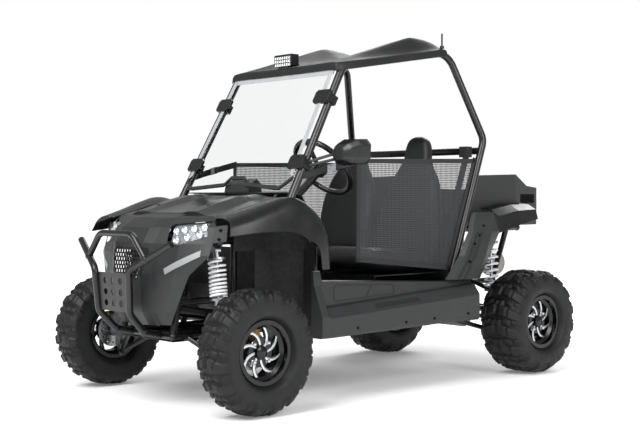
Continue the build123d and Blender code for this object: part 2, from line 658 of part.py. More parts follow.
for side in (1, -1):
    inner = (ARM_END_X, side * INNER_BALL_Y, RACK_Z)
    outer = (TIE_END[0], side * TIE_END[1], TIE_END[2])
    tie_rods.append(Pos(*inner) * Solid.make_sphere(15))
    tie_rods.append(rod(inner, outer, TIE_ROD_R))
    tie_rods.append(Pos(*outer) * Solid.make_sphere(TIE_BALL_R))
add("tie_rods", fuse(tie_rods))

WHEEL_HUB = (272, 250, 1058)
COLUMN_TILT = 40
STEERING_WHEEL_R = 160
GRIP_R = 14
DISH = 40
COLUMN_R = 19
COLUMN_LENGTH = 440
STUB_R = 10
SPOKE_WIDTH = 26
column_way = Vector(-cos(radians(COLUMN_TILT)), 0, sin(radians(COLUMN_TILT)))
column_plane = Plane(origin=WHEEL_HUB, x_dir=(0, 1, 0), z_dir=column_way)
grip = Solid.make_torus(STEERING_WHEEL_R, GRIP_R, column_plane.offset(DISH))
boss = Solid.make_cylinder(34, 36, column_plane)
stub = Solid.make_cylinder(STUB_R, 60, column_plane.offset(-58))
spokes = []
for angle in (0, 180, 270):
    run = Vector(cos(radians(angle)), sin(radians(angle)), 0)
    wide = Vector(-run.Y, run.X, 0) * SPOKE_WIDTH / 2
    near = run * 20 + Vector(0, 0, 14)
    far = run * STEERING_WHEEL_R + Vector(0, 0, DISH - 4)
    corners = [column_plane.from_local_coords(p) for p in (near - wide, far - wide, far + wide, near + wide)]
    spokes.append(prism([tuple(p) for p in corners], tuple(column_way * 8)))
add("steering_wheel", fuse([grip, boss, stub] + spokes))
column = Solid.make_cylinder(COLUMN_R, COLUMN_LENGTH, column_plane.offset(-COLUMN_LENGTH - 4))
column = column - Solid.make_cylinder(STUB_R + RUNNING_GAP, 70, column_plane.offset(-70))


# Floor: a flat pan on the frame with a sloped toe board and a firewall

FLOOR_HALF = 468
FOOTWELL_HALF = 332
FLOOR_FRONT_X = 520
FLOOR_REAR_X = -440
TOE_TOP = (672, 520)
FIREWALL_TOP = (690, 704)
pan = block((FLOOR_REAR_X, -FLOOR_HALF, FLOOR_Z), (FLOOR_FRONT_X, FLOOR_HALF, FLOOR_Z + PANEL))
toe = bent_sheet(
    [(FLOOR_FRONT_X - 10, FLOOR_Z + PANEL), (FLOOR_FRONT_X, FLOOR_Z + PANEL), TOE_TOP, FIREWALL_TOP],
    -FOOTWELL_HALF,
    FOOTWELL_HALF,
)
floor_pan = fuse([pan, toe])
post_holes = []
for side in (1, -1):
    post_y = side * SIDE_RAIL_Y
    post_holes.append(rod((SIDE_POST_X, post_y, RAIL_Z), (SIDE_POST_X, post_y, SIDE_POST_TOP), FRAME_R + 6))
    post_holes.append(
        rod((REAR_CROSS_X, side * TAIL_RAIL_Y, RAIL_Z), (-590, side * TAIL_RAIL_Y, TAIL_RAIL_Z), FRAME_R + 6)
    )
    leg_ends = [(LEG_FOOT[0], post_y, RAIL_Z), (LEG_FOOT[0], side * LEG_FOOT[1], LEG_FOOT[2] + 10)]
    post_holes.append(rod(*leg_ends, CAGE_R + 6))
floor_pan = floor_pan.cut(*post_holes)
add("floor_pan", floor_pan)


# Power unit: one block between the rear rails, with the drive shafts and the silencer

ENGINE_TOP = 640
engine = block((-860 + FRAME_R + 30, -170, RAIL_Z + FRAME_R + SEAT_GAP), (-520, 170, ENGINE_TOP))
final_drive = rod((REAR_AXLE_X, -95, AXLE_Z), (REAR_AXLE_X, 95, AXLE_Z), 70)
spine = block((REAR_AXLE_X, -60, AXLE_Z), (-600, 60, AXLE_Z + 110))
cross_clear = rod((REAR_END_X, -400, RAIL_Z), (REAR_END_X, 400, RAIL_Z), FRAME_R + 6)
engine = fuse([engine, final_drive, spine]) - cross_clear
add("engine", engine)
shafts = []
for side in (1, -1):
    shafts.append(
        rod(
            (REAR_AXLE_X, side * (95 + SEAT_GAP), AXLE_Z),
            (REAR_AXLE_X, side * (CARRIER_Y - 8 - SEAT_GAP), AXLE_Z),
            SHAFT_R,
        )
    )
add("drive_shafts", Compound(children=shafts))


# Dash: a folded panel under the windscreen with a raised instrument pod

DASH_HALF = 400
dash_line = [(462, 735), (478, 905), (505, 948), (560, 962), (586, 960)]
dash = bent_sheet(dash_line, -DASH_HALF, DASH_HALF)
pod_line = [(498, 936), (500, 1000), (526, 1026), (572, 1000), (580, 962), (560, 958), (508, 944)]
pod = side_prism(pod_line, -95, 95)
dash_post = rod((SIDE_POST_X, SIDE_RAIL_Y, SIDE_POST_TOP), (COWL_X, COWL_Y, COWL_Z), FRAME_R + 1)
hole_plane = column_plane.offset(-COLUMN_LENGTH - 40)
column_hole = Solid.make_cylinder(COLUMN_R + SEAT_GAP, COLUMN_LENGTH + 80, hole_plane)
stays = [rod((572, y, 956), (COWL_X, y, COWL_Z), 8) for y in (-300, 300)]
cowl_clear = rod((COWL_X, -COWL_Y, COWL_Z), (COWL_X, COWL_Y, COWL_Z), FRAME_R + SEAT_GAP)
add("dash", fuse([dash, pod] + stays).cut(column_hole, cowl_clear, dash_post, mirrored(dash_post)))
add("steering_column", column)


# Hood: a ribbed top panel between the fenders, from the nose back to the cowl

HOOD_FRONT_X = 985
HOOD_REAR_X = 632
HOOD_HALF = 392
hood_sections = [
    # x, height at the middle, rise of the ridge, height at the edge
    (HOOD_FRONT_X, 866, 8, 852),
    (860, 898, 16, 882),
    (740, 926, 18, 914),
    (HOOD_REAR_X, 946, 8, 936),
]


def hood_line(x, middle, ridge, edge):
    """One cross line of the hood, from the right edge over both ridges to the left edge."""
    half = [(120, middle), (170, middle + ridge), (235, middle + ridge), (300, edge + 4), (HOOD_HALF, edge)]
    return [(x, -y, z) for y, z in half[::-1]] + [(x, y, z) for y, z in half]


hood = skin([hood_line(*row) for row in hood_sections], (-1, 0, 0))
hood_posts = [
    block((870, s * RAIL_Y - 12, TOP_RAIL_Z + FRAME_R + SEAT_GAP), (900, s * RAIL_Y + 12, 905)) for s in (1, -1)
]
add("hood", fuse([hood] + hood_posts))


# Front fenders: a wide arch over each wheel, lofted through sections set round the wheel

SEAM = 0.5
FENDER_INNER_Y = HOOD_HALF + SEAM
fender_sections = [
    # x and z of the arch's lower edge, lean of the section in degrees, its height at the inner edge,
    # the crest and the shoulder, then the y of the inner edge, crest, shoulder and lower edge
    (1046, 772, 110, 76, 86, 70, FENDER_INNER_Y, 450, 538, 562),
    (905, 786, 92, 88, 100, 84, FENDER_INNER_Y, 470, 558, 582),
    (800, 790, 91, 114, 130, 114, FENDER_INNER_Y, 490, 568, 589),
    (705, 786, 98, 144, 168, 152, FENDER_INNER_Y, 505, 574, 592),
    (630, 752, 108, 158, 168, 148, FENDER_INNER_Y + 62, 522, 578, 592),
    (560, 716, 130, 104, 106, 98, FENDER_INNER_Y + 122, 538, 582, 592),
    (546, 612, 180, 66, 68, 64, FENDER_INNER_Y + 130, 540, 580, 590),
]


def fender_line(x, z, lean, inner, crest, shoulder, *across):
    """One flat section of the arch, from its inner edge over the crest to its lower edge."""
    run, rise = cos(radians(lean)), sin(radians(lean))
    return [(x + h * run, y, z + h * rise) for h, y in zip((inner, crest, shoulder, 0), across)]


def fender_skin(sections, thickness):
    """An arch of even thickness through flat sections that lean round the wheel."""
    rings = []
    for row in sections:
        normal = Vector(sin(radians(row[2])), 0, -cos(radians(row[2])))
        line = fender_line(*row)
        inner = offset_line(line, normal, thickness)
        rings.append(Wire.make_polygon([Vector(*p) for p in line] + inner[::-1]))
    return Solid.make_loft(rings, ruled=True)


left_fender = fender_skin(fender_sections, -PANEL)
PILLAR_FOOT = (COWL_X, COWL_Y - 22, COWL_Z)
left_fender = left_fender - rod(PILLAR_FOOT, PILLAR_TOP, CAGE_R + 1)
add("front_fenders", both_sides(left_fender))


# Nose: a centre fascia with the grille window, and a side fascia with a lamp window on each side

NOSE_HALF = 170
NOSE_X = HOOD_FRONT_X + SEAM
nose_lines = [
    # y, then the side-view line from the hood's edge down to the skid plate as (x, z)
    (-NOSE_HALF, [(NOSE_X, 862), (1062, 846), (1126, 806), (1166, 735), (1180, 600), (1170, 430), (1136, 368)]),
    (-110, [(NOSE_X, 864), (1080, 846), (1148, 804), (1190, 735), (1204, 600), (1194, 430), (1158, 368)]),
    (110, [(NOSE_X, 864), (1080, 846), (1148, 804), (1190, 735), (1204, 600), (1194, 430), (1158, 368)]),
    (NOSE_HALF, [(NOSE_X, 862), (1062, 846), (1126, 806), (1166, 735), (1180, 600), (1170, 430), (1136, 368)]),
]
nose = skin([[(x, y, z) for x, z in line] for y, line in nose_lines], (0, 1, 0))
GRILLE_TOP = (140, 716)
GRILLE_SHOULDER = (150, 690)
GRILLE_FOOT = (105, 568)
grille_half = [GRILLE_TOP, GRILLE_SHOULDER, GRILLE_FOOT]
GRILLE_WINDOW = grille_half + [(-y, z) for y, z in grille_half[::-1]]
nose = nose - front_prism(GRILLE_WINDOW, 1100, 1300)
add("nose_fascia", nose)

FASCIA_Y = NOSE_HALF + SEAM
fascia_lines = [
    # z, then the plan line from beside the nose out to the wheel arch as (x, y)
    (856, [(990, FASCIA_Y), (990, 300), (990, 370)]),
    (848, [(1056, FASCIA_Y), (1010, 300), (990, 390)]),
    (806, [(1126, FASCIA_Y), (1088, 300), (1020, 424)]),
    (735, [(1166, FASCIA_Y), (1126, 300), (1040, 430)]),
    (684, [(1172, FASCIA_Y), (1134, 300), (1060, 430)]),
    (598, [(1178, FASCIA_Y), (1144, 280), (1105, 345)]),
    (535, [(1176, FASCIA_Y), (1146, 262), (1115, 318)]),
    (430, [(1170, FASCIA_Y), (1150, 224), (1122, 264)]),
    (372, [(1134, FASCIA_Y), (1126, 196), (1116, 222)]),
]
fascia = skin([[(x, y, z) for x, y in line] for z, line in fascia_lines], (0, 0, 1))
fascia = fascia & block((900, FASCIA_Y, 300), (1300, 500, 900))
LAMP_WINDOW = [(232, 733), (280, 725), (400, 768), (384, 834), (212, 818)]
lamp_opening = front_prism(LAMP_WINDOW, 950, 1250)
add("side_fascias", both_sides(fascia.cut(lamp_opening, left_fender)))

# Headlamps: clear lenses that follow the fascia, with a solid lamp body behind
lamp_middle = (310, 775)
lamp_inner = [
    (y + (lamp_middle[0] - y) * 0.012, z + (lamp_middle[1] - z) * 0.02) for y, z in LAMP_WINDOW
]
deep_fascia = skin([[(x, y, z) for x, y in line] for z, line in fascia_lines], (0, 0, 1), 34)
add("headlamps", both_sides(deep_fascia & front_prism(lamp_inner, 950, 1250)))

# Grille: a plate of six-sided openings set in the nose's window
GRILLE_PITCH = 21
GRILLE_BAR = 3.5
GRILLE_MIDDLE_Z = 642
GRILLE_MARGIN = 19
grille_outline = [(y * 0.998, GRILLE_MIDDLE_Z + (z - GRILLE_MIDDLE_Z) * 0.997) for y, z in GRILLE_WINDOW]
cell_radius = (GRILLE_PITCH - GRILLE_BAR) / 3**0.5
deep_nose = skin([[(x, y, z) for x, z in line] for y, line in nose_lines], (0, 1, 0), 7)
grille = deep_nose & front_prism(grille_outline, 1100, 1300)
cells = []
for row in range(-3, 4):
    for column_step in range(-7, 8):
        y = (column_step + 0.5 * (row % 2)) * GRILLE_PITCH
        z = GRILLE_MIDDLE_Z + row * GRILLE_PITCH * 0.866
        share = (z - GRILLE_FOOT[1]) / (GRILLE_SHOULDER[1] - GRILLE_FOOT[1])
        edge = along(GRILLE_FOOT, GRILLE_SHOULDER, share)[0]
        if abs(y) < edge - GRILLE_MARGIN:
            corners = [(y + cell_radius * sin(pi * k / 3), z + cell_radius * cos(pi * k / 3)) for k in range(6)]
            cells.append(front_prism(corners, 1150, 1250))
add("grille", grille.cut(*cells))

# Skid plate: a folded plate under the front of the frame
SKID_Z = RAIL_Z - WELD_FLAT - SEAT_GAP
skid = block((600, -215, SKID_Z - 3), (1100, 215, SKID_Z))
add("skid_plate", skid)


# Wheel well liners: bent walls behind and inside each front wheel

LINER_X = SIDE_POST_X + FRAME_R + SEAT_GAP
LINER_Y = 342
liner_plan = [(LINER_X, 518), (LINER_X, 440), (640, LINER_Y), (742, LINER_Y)]
liner = skin([[(x, y, 346) for x, y in liner_plan], [(x, y, 700) for x, y in liner_plan]], (0, 0, 1))
add("wheel_well_liners", both_sides(liner))


# Front bumper: bent tubes and a punched centre plate

BUMPER_ARM_END = (1215, 370, 738)
BUMPER_FRONT = (1282, 140, 618)
BUMPER_LOW = (1268, 128, 425)
BUMPER_FOOT = (1186, 115, 338)
HOOP_SHARE = 0.59
HOOP_TOP = (1258, 133, 777)
BUMPER_BEND = 42
HOOP_BEND = 72
HOOP_TUBE = BUMPER_TUBE - 3
bumper_side = tube([BUMPER_ARM_END, BUMPER_FRONT, BUMPER_LOW, BUMPER_FOOT], BUMPER_TUBE, BUMPER_BEND)
hoop_foot = along(BUMPER_ARM_END, BUMPER_FRONT, HOOP_SHARE)
hoop_half = [hoop_foot, HOOP_TOP]
bumper_hoop = tube(hoop_half + [(x, -y, z) for x, y, z in hoop_half[::-1]], HOOP_TUBE, HOOP_BEND)
PLATE_X = 1268
PLATE_HALF = 128
PLATE_HOLE_R = 15
plate_line = [(PLATE_X + 6, 602), (PLATE_X + 10, 602), (PLATE_X, 430), (PLATE_X - 4, 430)]
bumper_plate = side_prism(plate_line, -PLATE_HALF, PLATE_HALF)
plate_holes = []
for z in (466, 516, 566):
    for y in (-62, 0, 62):
        plate_holes.append(rod((1200, y, z), (1320, y, z), PLATE_HOLE_R))
bumper_plate = bumper_plate.cut(*plate_holes)
weld_bead = Solid.make_sphere(BUMPER_TUBE / 2 + WELD, angle1=-WELD_LATITUDE, angle2=WELD_LATITUDE)
strut = rod(BUMPER_FOOT, (FRONT_CROSS_X, BUMPER_FOOT[1], RAIL_Z), BUMPER_TUBE / 2)
left_bumper = fuse([bumper_side, strut, Pos(*BUMPER_FOOT) * weld_bead, Pos(*hoop_foot) * weld_bead])
bumper = fuse([left_bumper, mirrored(left_bumper), bumper_hoop, bumper_plate])
bumper = bumper - rod((FRONT_CROSS_X, -300, RAIL_Z), (FRONT_CROSS_X, 300, RAIL_Z), FRAME_R + SEAT_GAP)
bumper = bumper - block((1000, -300, 200), (FRONT_CROSS_X, 300, 360))
add("front_bumper", bumper)


# Rocker panels: folded sills along the door openings

ROCKER_Y = SIDE_RAIL_Y + 34
rocker_lines = [
    # x, then the cross line from the bottom's inner edge round the step to below the sill board's top as (y, z)
    (556, [(588, 299), (600, 312), (600, 400), (566, 480), (542, 540), (536, 600)]),
    (515, [(588, 299), (600, 312), (600, 396), (566, 470), (542, 536), (536, 600)]),
    (500, [(590, 299), (602, 312), (602, 390), (562, 432), (540, 440), (534, 554)]),
    (440, [(590, 300), (602, 312), (602, 392), (562, 436), (540, 444), (534, 552)]),
    (-300, [(590, 316), (602, 329), (602, 432), (562, 480), (540, 487), (534, 514)]),
    (-520, [(588, 314), (598, 328), (598, 446), (560, 496), (540, 502), (534, 516)]),
]
ROCKER_TOP_RISE = 5
for x, line in rocker_lines:
    line.insert(0, (ROCKER_Y, line[0][1]))
    line.append((ROCKER_Y, line[-1][1] + ROCKER_TOP_RISE))
rocker = skin([[(x, y, z) for y, z in line] for x, line in rocker_lines], (1, 0, 0))
front_cap = front_prism(rocker_lines[0][1], rocker_lines[0][0] - PANEL, rocker_lines[0][0])
sill_tabs = [
    block((x - 20, SIDE_RAIL_Y + FRAME_R + SEAT_GAP, RAIL_Z - 14), (x + 20, ROCKER_Y + 8, RAIL_Z + 2))
    for x in (300, -200)
]
add("rocker_panels", both_sides(fuse([rocker, front_cap] + sill_tabs)))


# Rear side panels: leaning boards from the sills up to the rear fenders

REAR_FENDER_X = -722
rear_side_lines = [
    # z, then the plan line from the door's edge round to the wheel's edge as (x, y)
    (524, [(-330, 534), (-345, 566), (-500, 588), (-560, 560)]),
    (640, [(-430, 534), (-445, 560), (-580, 582), (-640, 556)]),
    (760, [(-505, 530), (-520, 548), (-645, 566), (REAR_FENDER_X + SEAM, 556)]),
    (860, [(-560, 500), (-575, 520), (-672, 540), (REAR_FENDER_X + SEAM, 518)]),
]
rear_side = skin([[(x, y, z) for x, y in line] for z, line in rear_side_lines], (0, 0, -1))
rear_side = rear_side & block((REAR_FENDER_X + SEAM, 400, 500), (-300, 620, 900))
add("rear_side_panels", both_sides(rear_side))


# Tail box: an open cargo tray on the rear rails, with tall sides

TRAY_Z = TAIL_RAIL_Z + WELD_FLAT + SEAT_GAP
TAIL_X = 1301
tray_half = [(-600, 430), (-1010, 430), (-1240, 392), (-TAIL_X, 300)]
tray_plan = tray_half + [(x, -y) for x, y in tray_half[::-1]]
inner_half = [(-604, 426), (-1010, 426), (-1238, 388), (-TAIL_X + 4, 298)]
tray_inner = inner_half + [(x, -y) for x, y in inner_half[::-1]]
tray_side = [
    (-590, TRAY_Z), (-640, 1052), (-1010, 1062), (-1130, 1000), (-TAIL_X - 5, 985), (-TAIL_X - 5, TRAY_Z),
]
tray = plan_prism(tray_plan, TRAY_Z, 1070) - plan_prism(tray_inner, TRAY_Z + PANEL, 1080)
tray = tray & side_prism(tray_side, -500, 500)
side_slots = [block((-1215, s * 400 - 60, 905), (-1060, s * 400 + 60, 955)) for s in (1, -1)]
add("tail_box", tray.cut(*side_slots))

# Rear fenders: flared wings from the side panels back along the tray
REAR_FENDER_Y = 430 + SEAM
rear_fender_sections = [
    # x, then the cross line from the tray out and down to the wheel's edge as (y, z)
    (REAR_FENDER_X, [(REAR_FENDER_Y, 880), (500, 872), (548, 838), (560, 752)]),
    (-880, [(REAR_FENDER_Y, 905), (500, 898), (556, 866), (572, 792)]),
    (-1040, [(REAR_FENDER_Y, 905), (490, 900), (545, 872), (560, 820)]),
]
rear_fender = skin([[(x, y, z) for y, z in line] for x, line in rear_fender_sections], (1, 0, 0), -PANEL)
add("rear_fenders", both_sides(rear_fender))

# Tail lamps: lenses on the tray's slanted rear corners
CORNER_NORMAL = (-0.833, 0.553)
lamp_ends = [(-1244, 386), (-1296, 307.5)]
lamp_near = [(x + CORNER_NORMAL[0] * SEAT_GAP, y + CORNER_NORMAL[1] * SEAT_GAP) for x, y in lamp_ends]
lamp_far = [(x + CORNER_NORMAL[0] * 5, y + CORNER_NORMAL[1] * 5) for x, y in lamp_ends]
lamp_plan = lamp_near + lamp_far[::-1]
tail_lamp = plan_prism(lamp_plan, 838, 930)
add("tail_lamps", both_sides(tail_lamp))


# Windscreen: a flat clear sheet ahead of the pillars, with a rubber foot strip and four clamps

GLASS = 4
GLASS_GAP = 3
pillar_foot = Vector(COWL_X, 0, COWL_Z)
pillar_head = Vector(PILLAR_TOP[0], 0, PILLAR_TOP[2])
pillar_way = (pillar_head - pillar_foot).normalized()
glass_normal = Vector(0, 1, 0).cross(pillar_way)
glass_plane = Plane(
    origin=pillar_foot + glass_normal * (CAGE_R + GLASS_GAP), x_dir=(0, 1, 0), z_dir=glass_normal
)


def on_glass(outline, low, high):
    """A prism on the windscreen's plane from an outline of (across, up the slope)."""
    points = [glass_plane.from_local_coords(Vector(a, b, low)) for a, b in outline]
    return prism([tuple(p) for p in points], tuple(glass_normal * (high - low)))


foot_half = [(52, 158), (85, 120), (345, 100), (412, 152)]
GLASS_FOOT = [(-a, b) for a, b in foot_half[::-1]] + foot_half
GLASS_HEAD = [(384, 756), (-384, 756)]
windscreen = on_glass(GLASS_FOOT + GLASS_HEAD, 0, GLASS)
add("windscreen", windscreen)
strip_low = [(a, b - 8) for a, b in GLASS_FOOT]
strip_high = [(a, b + 10) for a, b in GLASS_FOOT]
strip = on_glass(strip_low + strip_high[::-1], -2.5, GLASS + 3)
groove = on_glass(GLASS_FOOT + GLASS_HEAD, -SEAT_GAP, GLASS + SEAT_GAP)
add("windscreen_strip", strip - groove)

PILLAR_LENGTH = (pillar_head - pillar_foot).length
CLAMP_HALF = 36
CLAMP_CORNER = 12
clamps = []
for up in (238, 594):
    y = COWL_Y - 22 + (PILLAR_TOP[1] - COWL_Y + 22) * up / PILLAR_LENGTH
    pad = [
        (y - 78, up - CLAMP_HALF + CLAMP_CORNER), (y - 78 + CLAMP_CORNER, up - CLAMP_HALF),
        (y + 26 - CLAMP_CORNER, up - CLAMP_HALF), (y + 26, up - CLAMP_HALF + CLAMP_CORNER),
        (y + 26, up + CLAMP_HALF - CLAMP_CORNER), (y + 26 - CLAMP_CORNER, up + CLAMP_HALF),
        (y - 78 + CLAMP_CORNER, up + CLAMP_HALF), (y - 78, up + CLAMP_HALF - CLAMP_CORNER),
    ]
    collar = [(y - 28, up - 22), (y + 26, up - 22), (y + 26, up + 22), (y - 28, up + 22)]
    shapes = [on_glass(pad, -GLASS_GAP, GLASS + 7), on_glass(collar, -CAGE_TUBE - GLASS_GAP - 6, 0)]
    clamps.append(fuse(shapes))
pillar_clear = rod(PILLAR_FOOT, PILLAR_TOP, CAGE_R + SEAT_GAP)
clamps = [clamp.cut(pillar_clear, groove) for clamp in clamps]
add("windscreen_clamps", Compound(children=clamps + [mirrored(c) for c in clamps]))


# Side mirror: a housing with a rimmed recess for its glass, on two rods from the left pillar's lower clamp

MIRROR_MIDDLE = (604, 1146)
MIRROR_RIM = 0.9
MIRROR_REAR_X = 332
MIRROR_ROD_R = 7
MIRROR_SEAT_Y = COWL_Y - 22 + (PILLAR_TOP[1] - COWL_Y + 22) * 238 / PILLAR_LENGTH + 26 + SEAT_GAP
mirror_outline = [
    # y and z of the housing's corners, round from its lower inner corner
    (530, 1110), (552, 1086), (652, 1090), (676, 1112), (681, 1178), (656, 1204), (560, 1206), (534, 1188),
]
mirror_stages = [
    # x, share of the full outline, shift inwards and down towards the rods
    (MIRROR_REAR_X, 1, 0, 0),
    (384, 1, -4, -2),
    (424, 0.76, -18, -10),
    (442, 0.46, -26, -14),
]
mirror_rings = []
for x, share, aside, down in mirror_stages:
    ring = [along(MIRROR_MIDDLE, corner, share) for corner in mirror_outline]
    mirror_rings.append(Wire.make_polygon([Vector(x, y + aside, z + down) for y, z in ring]))
mirror_recess = [along(MIRROR_MIDDLE, corner, MIRROR_RIM) for corner in mirror_outline]
mirror_shell = Solid.make_loft(mirror_rings, ruled=True)
mirror_shell = mirror_shell - front_prism(mirror_recess, MIRROR_REAR_X - 1, MIRROR_REAR_X + 6)
mirror_rods = [
    rod((514, MIRROR_SEAT_Y - 12, 1080), (412, 560, 1118), MIRROR_ROD_R),
    rod((510, MIRROR_SEAT_Y - 12, 1098), (412, 566, 1146), MIRROR_ROD_R),
]
mirror = fuse([mirror_shell] + mirror_rods)
add("side_mirror", mirror - block((300, 300, 1000), (700, MIRROR_SEAT_Y, 1300)))


# Roof: a moulded panel on the cage's rails, with two ridges and a valley

ROOF_HALF = 424
ROOF_FRONT_X = 294
ROOF_LIP = 40
ROOF_LIFT = CAGE_R + SEAT_GAP + PANEL + 0.6
roof_sections = [
    # x, lift of the middle and of the ridges above the edges, half width
    (ROOF_FRONT_X, 0, 3, 406),
    (258, 0, 4, ROOF_HALF),
    (100, 0, 24, ROOF_HALF),
    (-274, -6, 78, ROOF_HALF),
    (-420, -4, 44, ROOF_HALF),
    (-468, 0, 14, ROOF_HALF),
]


def rail_height(x):
    """Height of the roof rail's axis at a place along the vehicle."""
    share = (x - PILLAR_TOP[0]) / (ROOF_REAR[0] - PILLAR_TOP[0])
    return PILLAR_TOP[2] + (ROOF_REAR[2] - PILLAR_TOP[2]) * share


def roof_line(x, middle, ridge, half_width):
    """One cross line of the roof, from the right side lip over both ridges to the left side lip."""
    z = rail_height(x) + ROOF_LIFT
    edge = half_width - 4
    half = [
        (150, z + middle), (318, z + ridge), (352, z + ridge),
        (edge - 24, z), (edge, z - 4), (half_width, z - ROOF_LIP),
    ]
    return [(x, -y, h) for y, h in half[::-1]] + [(x, y, h) for y, h in half]


roof_skin = skin([roof_line(*row) for row in roof_sections], (-1, 0, 0))
roof_front_z = rail_height(ROOF_FRONT_X) + ROOF_LIFT
front_lip = block(
    (ROOF_FRONT_X - PANEL, -400, roof_front_z - ROOF_LIP), (ROOF_FRONT_X, 400, roof_front_z - PANEL / 2)
)
roof = fuse([roof_skin, front_lip]) - pieces["roll_cage"]
add("roof", roof)

# Work lamp: a lamp body on a foot plate near the roof's front edge
LAMP_HALF = 66
LAMP_X = (238, 286)
lamp_low = [rail_height(x) + ROOF_LIFT + 0.6 for x in LAMP_X]
FOOT_X = LAMP_X[0] - 26
foot_line = [
    (FOOT_X, lamp_low[0] + 6), (LAMP_X[1], lamp_low[1]),
    (LAMP_X[1], lamp_low[1] + 10), (FOOT_X, lamp_low[0] + 16),
]
lamp_foot = side_prism(foot_line, -40, 40)
lamp_body = block((LAMP_X[0], -LAMP_HALF, lamp_low[0] + 4), (LAMP_X[1], LAMP_HALF, lamp_low[0] + 60))
add("work_lamp", fuse([lamp_foot, lamp_body]).cut(roof))

# Antenna: a short rod on the roof's rear left corner
ANTENNA = (-452, ROOF_HALF - 28)
antenna_z = rail_height(ANTENNA[0]) + ROOF_LIFT
antenna = fuse([
    rod((*ANTENNA, antenna_z - 20), (*ANTENNA, antenna_z + 14), 11),
    rod((*ANTENNA, antenna_z + 10), (*ANTENNA, 1780), 4.5),
])
add("antenna", antenna.cut(roof).cut(pieces["roll_cage"]).solids().sort_by(Axis.Z)[-1])


# Seats: two buckets on a shared base, with a bulkhead behind them

SEAT_Y = 240
SEAT_HALF = 205
BASE_TOP = 556
base_line = [(72, FLOOR_Z + PANEL + SEAT_GAP), (72, BASE_TOP), (-404, BASE_TOP)]
seat_base = bent_sheet(base_line[::-1], -436, 436)
add("seat_base", seat_base)
cushion_line = [
    (-372, BASE_TOP + SEAT_GAP), (70, BASE_TOP + SEAT_GAP), (94, 610),
    (88, 668), (50, 688), (-300, 640), (-372, 640),
]
back_line = [
    (-372, 600), (-292, 640), (-330, 800), (-396, 1060), (-404, 1180), (-420, 1238), (-448, 1256),
    (-490, 1240), (-506, 1180), (-486, 1060), (-440, 800),
]
back_front = [
    (SEAT_Y - SEAT_HALF, 560), (SEAT_Y + SEAT_HALF, 560), (SEAT_Y + SEAT_HALF, 900), (SEAT_Y + 176, 1060),
    (SEAT_Y + 84, 1120), (SEAT_Y + 78, 1200), (SEAT_Y + 46, 1256), (SEAT_Y - 46, 1256), (SEAT_Y - 78, 1200),
    (SEAT_Y - 84, 1120), (SEAT_Y - 176, 1060), (SEAT_Y - SEAT_HALF, 900),
]
cushion = side_prism(cushion_line, SEAT_Y - SEAT_HALF, SEAT_Y + SEAT_HALF)
back = side_prism(back_line, 0, 2 * SEAT_Y) & front_prism(back_front, -700, 0)
left_seat = fuse([cushion, back])
add("left_seat", left_seat)
add("right_seat", mirrored(left_seat))

bulkhead_line = [(-412, FLOOR_Z + PANEL + 0.6), (-430, 560), (-520, 860)]
add("seat_bulkhead", bent_sheet(bulkhead_line[::-1], -464, 464))

# Seat belts: a reel on the cross tube behind each seat and a strap down beside the seat
BELT_Y = 420
reel_x = BELT_BAR[0]
reel_z = BELT_BAR[2]
reel = block(
    (reel_x + CAGE_R + SEAT_GAP, BELT_Y - 18, reel_z - 34), (reel_x + CAGE_R + 42, BELT_Y + 34, reel_z + 22)
)
strap_line = [(-608, reel_z - 20), (-562, reel_z - 20), (-454, 860), (-394, 600), (-440, 600), (-500, 860)]
strap = side_prism(strap_line, BELT_Y + 28, BELT_Y + 30.5)
add("seat_belts", both_sides(fuse([reel, strap])))


# Side nets: a mesh sheet with a webbing border in each door opening

NET = 2
NET_FRONT_Y = 474
NET_REAR_Y = 500
NET_TOP = (228, 1122)
NET_FOOT = (235, 630)


def net_y(x):
    """The net's place across the vehicle: a flat sheet that spreads towards the rear leg."""
    return NET_FRONT_Y + (NET_REAR_Y - NET_FRONT_Y) * (NET_TOP[0] - x) / 868


def on_net(outline):
    """A sheet in the net's plane from an outline in side view, (x, z)."""
    return prism([(x, net_y(x), z) for x, z in outline], (0, NET, 0))


net_rear_top = along(CAGE_KINK, LEG_FOOT, 0.12)
net_rear_foot = along(CAGE_KINK, LEG_FOOT, 0.82)
net_outline = [NET_TOP, (net_rear_top[0], net_rear_top[2]), (net_rear_foot[0], net_rear_foot[2]), NET_FOOT]
net_strap = prism(
    [(NET_TOP[0] - 20, net_y(NET_TOP[0] - 20), z) for z in (1092, 1118)]
    + [(546, 426, 1044), (546, 426, 1018)],
    (0, NET, 0),
)
net = fuse([on_net(net_outline), net_strap])
net = net.cut(rod(CAGE_KINK, LEG_FOOT, CAGE_R + SEAT_GAP), rod(PILLAR_FOOT, PILLAR_TOP, CAGE_R + SEAT_GAP))
net = net.solids().sort_by(SortBy.VOLUME)[-1]
add("side_nets", both_sides(net))


# Driver controls: two hanging pedals and a gear lever

controls = []
for y in (190, 300):
    bracket = side_prism([(658, 640), (683.3, 640), (688.2, 690), (658, 690)], y - 14, y + 14)
    arm = rod((668, y, 655), (576, y, 476), 7)
    pad = block((564, y - 32, 440), (580, y + 32, 510))
    controls.append(fuse([bracket, arm, pad]))
lever_z = FLOOR_Z + PANEL + SEAT_GAP
lever = fuse([
    block((86, -28, lever_z), (160, 28, lever_z + 40)),
    rod((122, 0, lever_z + 30), (150, 0, 660), 7),
    Pos(150, 0, 660) * Solid.make_sphere(21),
])
add("driver_controls", Compound(children=controls + [lever]))


# Silencer: a steel can across the tail, hung from the rear cross tube

CAN_R = 62
CAN_Z = 560
can = rod((-1180, -165, CAN_Z), (-1180, 165, CAN_Z), CAN_R)
hangers = [
    rod((-1180, y, CAN_Z), (-1180, y, TAIL_RAIL_Z - FRAME_R - SEAT_GAP), 7) for y in (-100, 100)
]
add("silencer", fuse([can] + hangers))


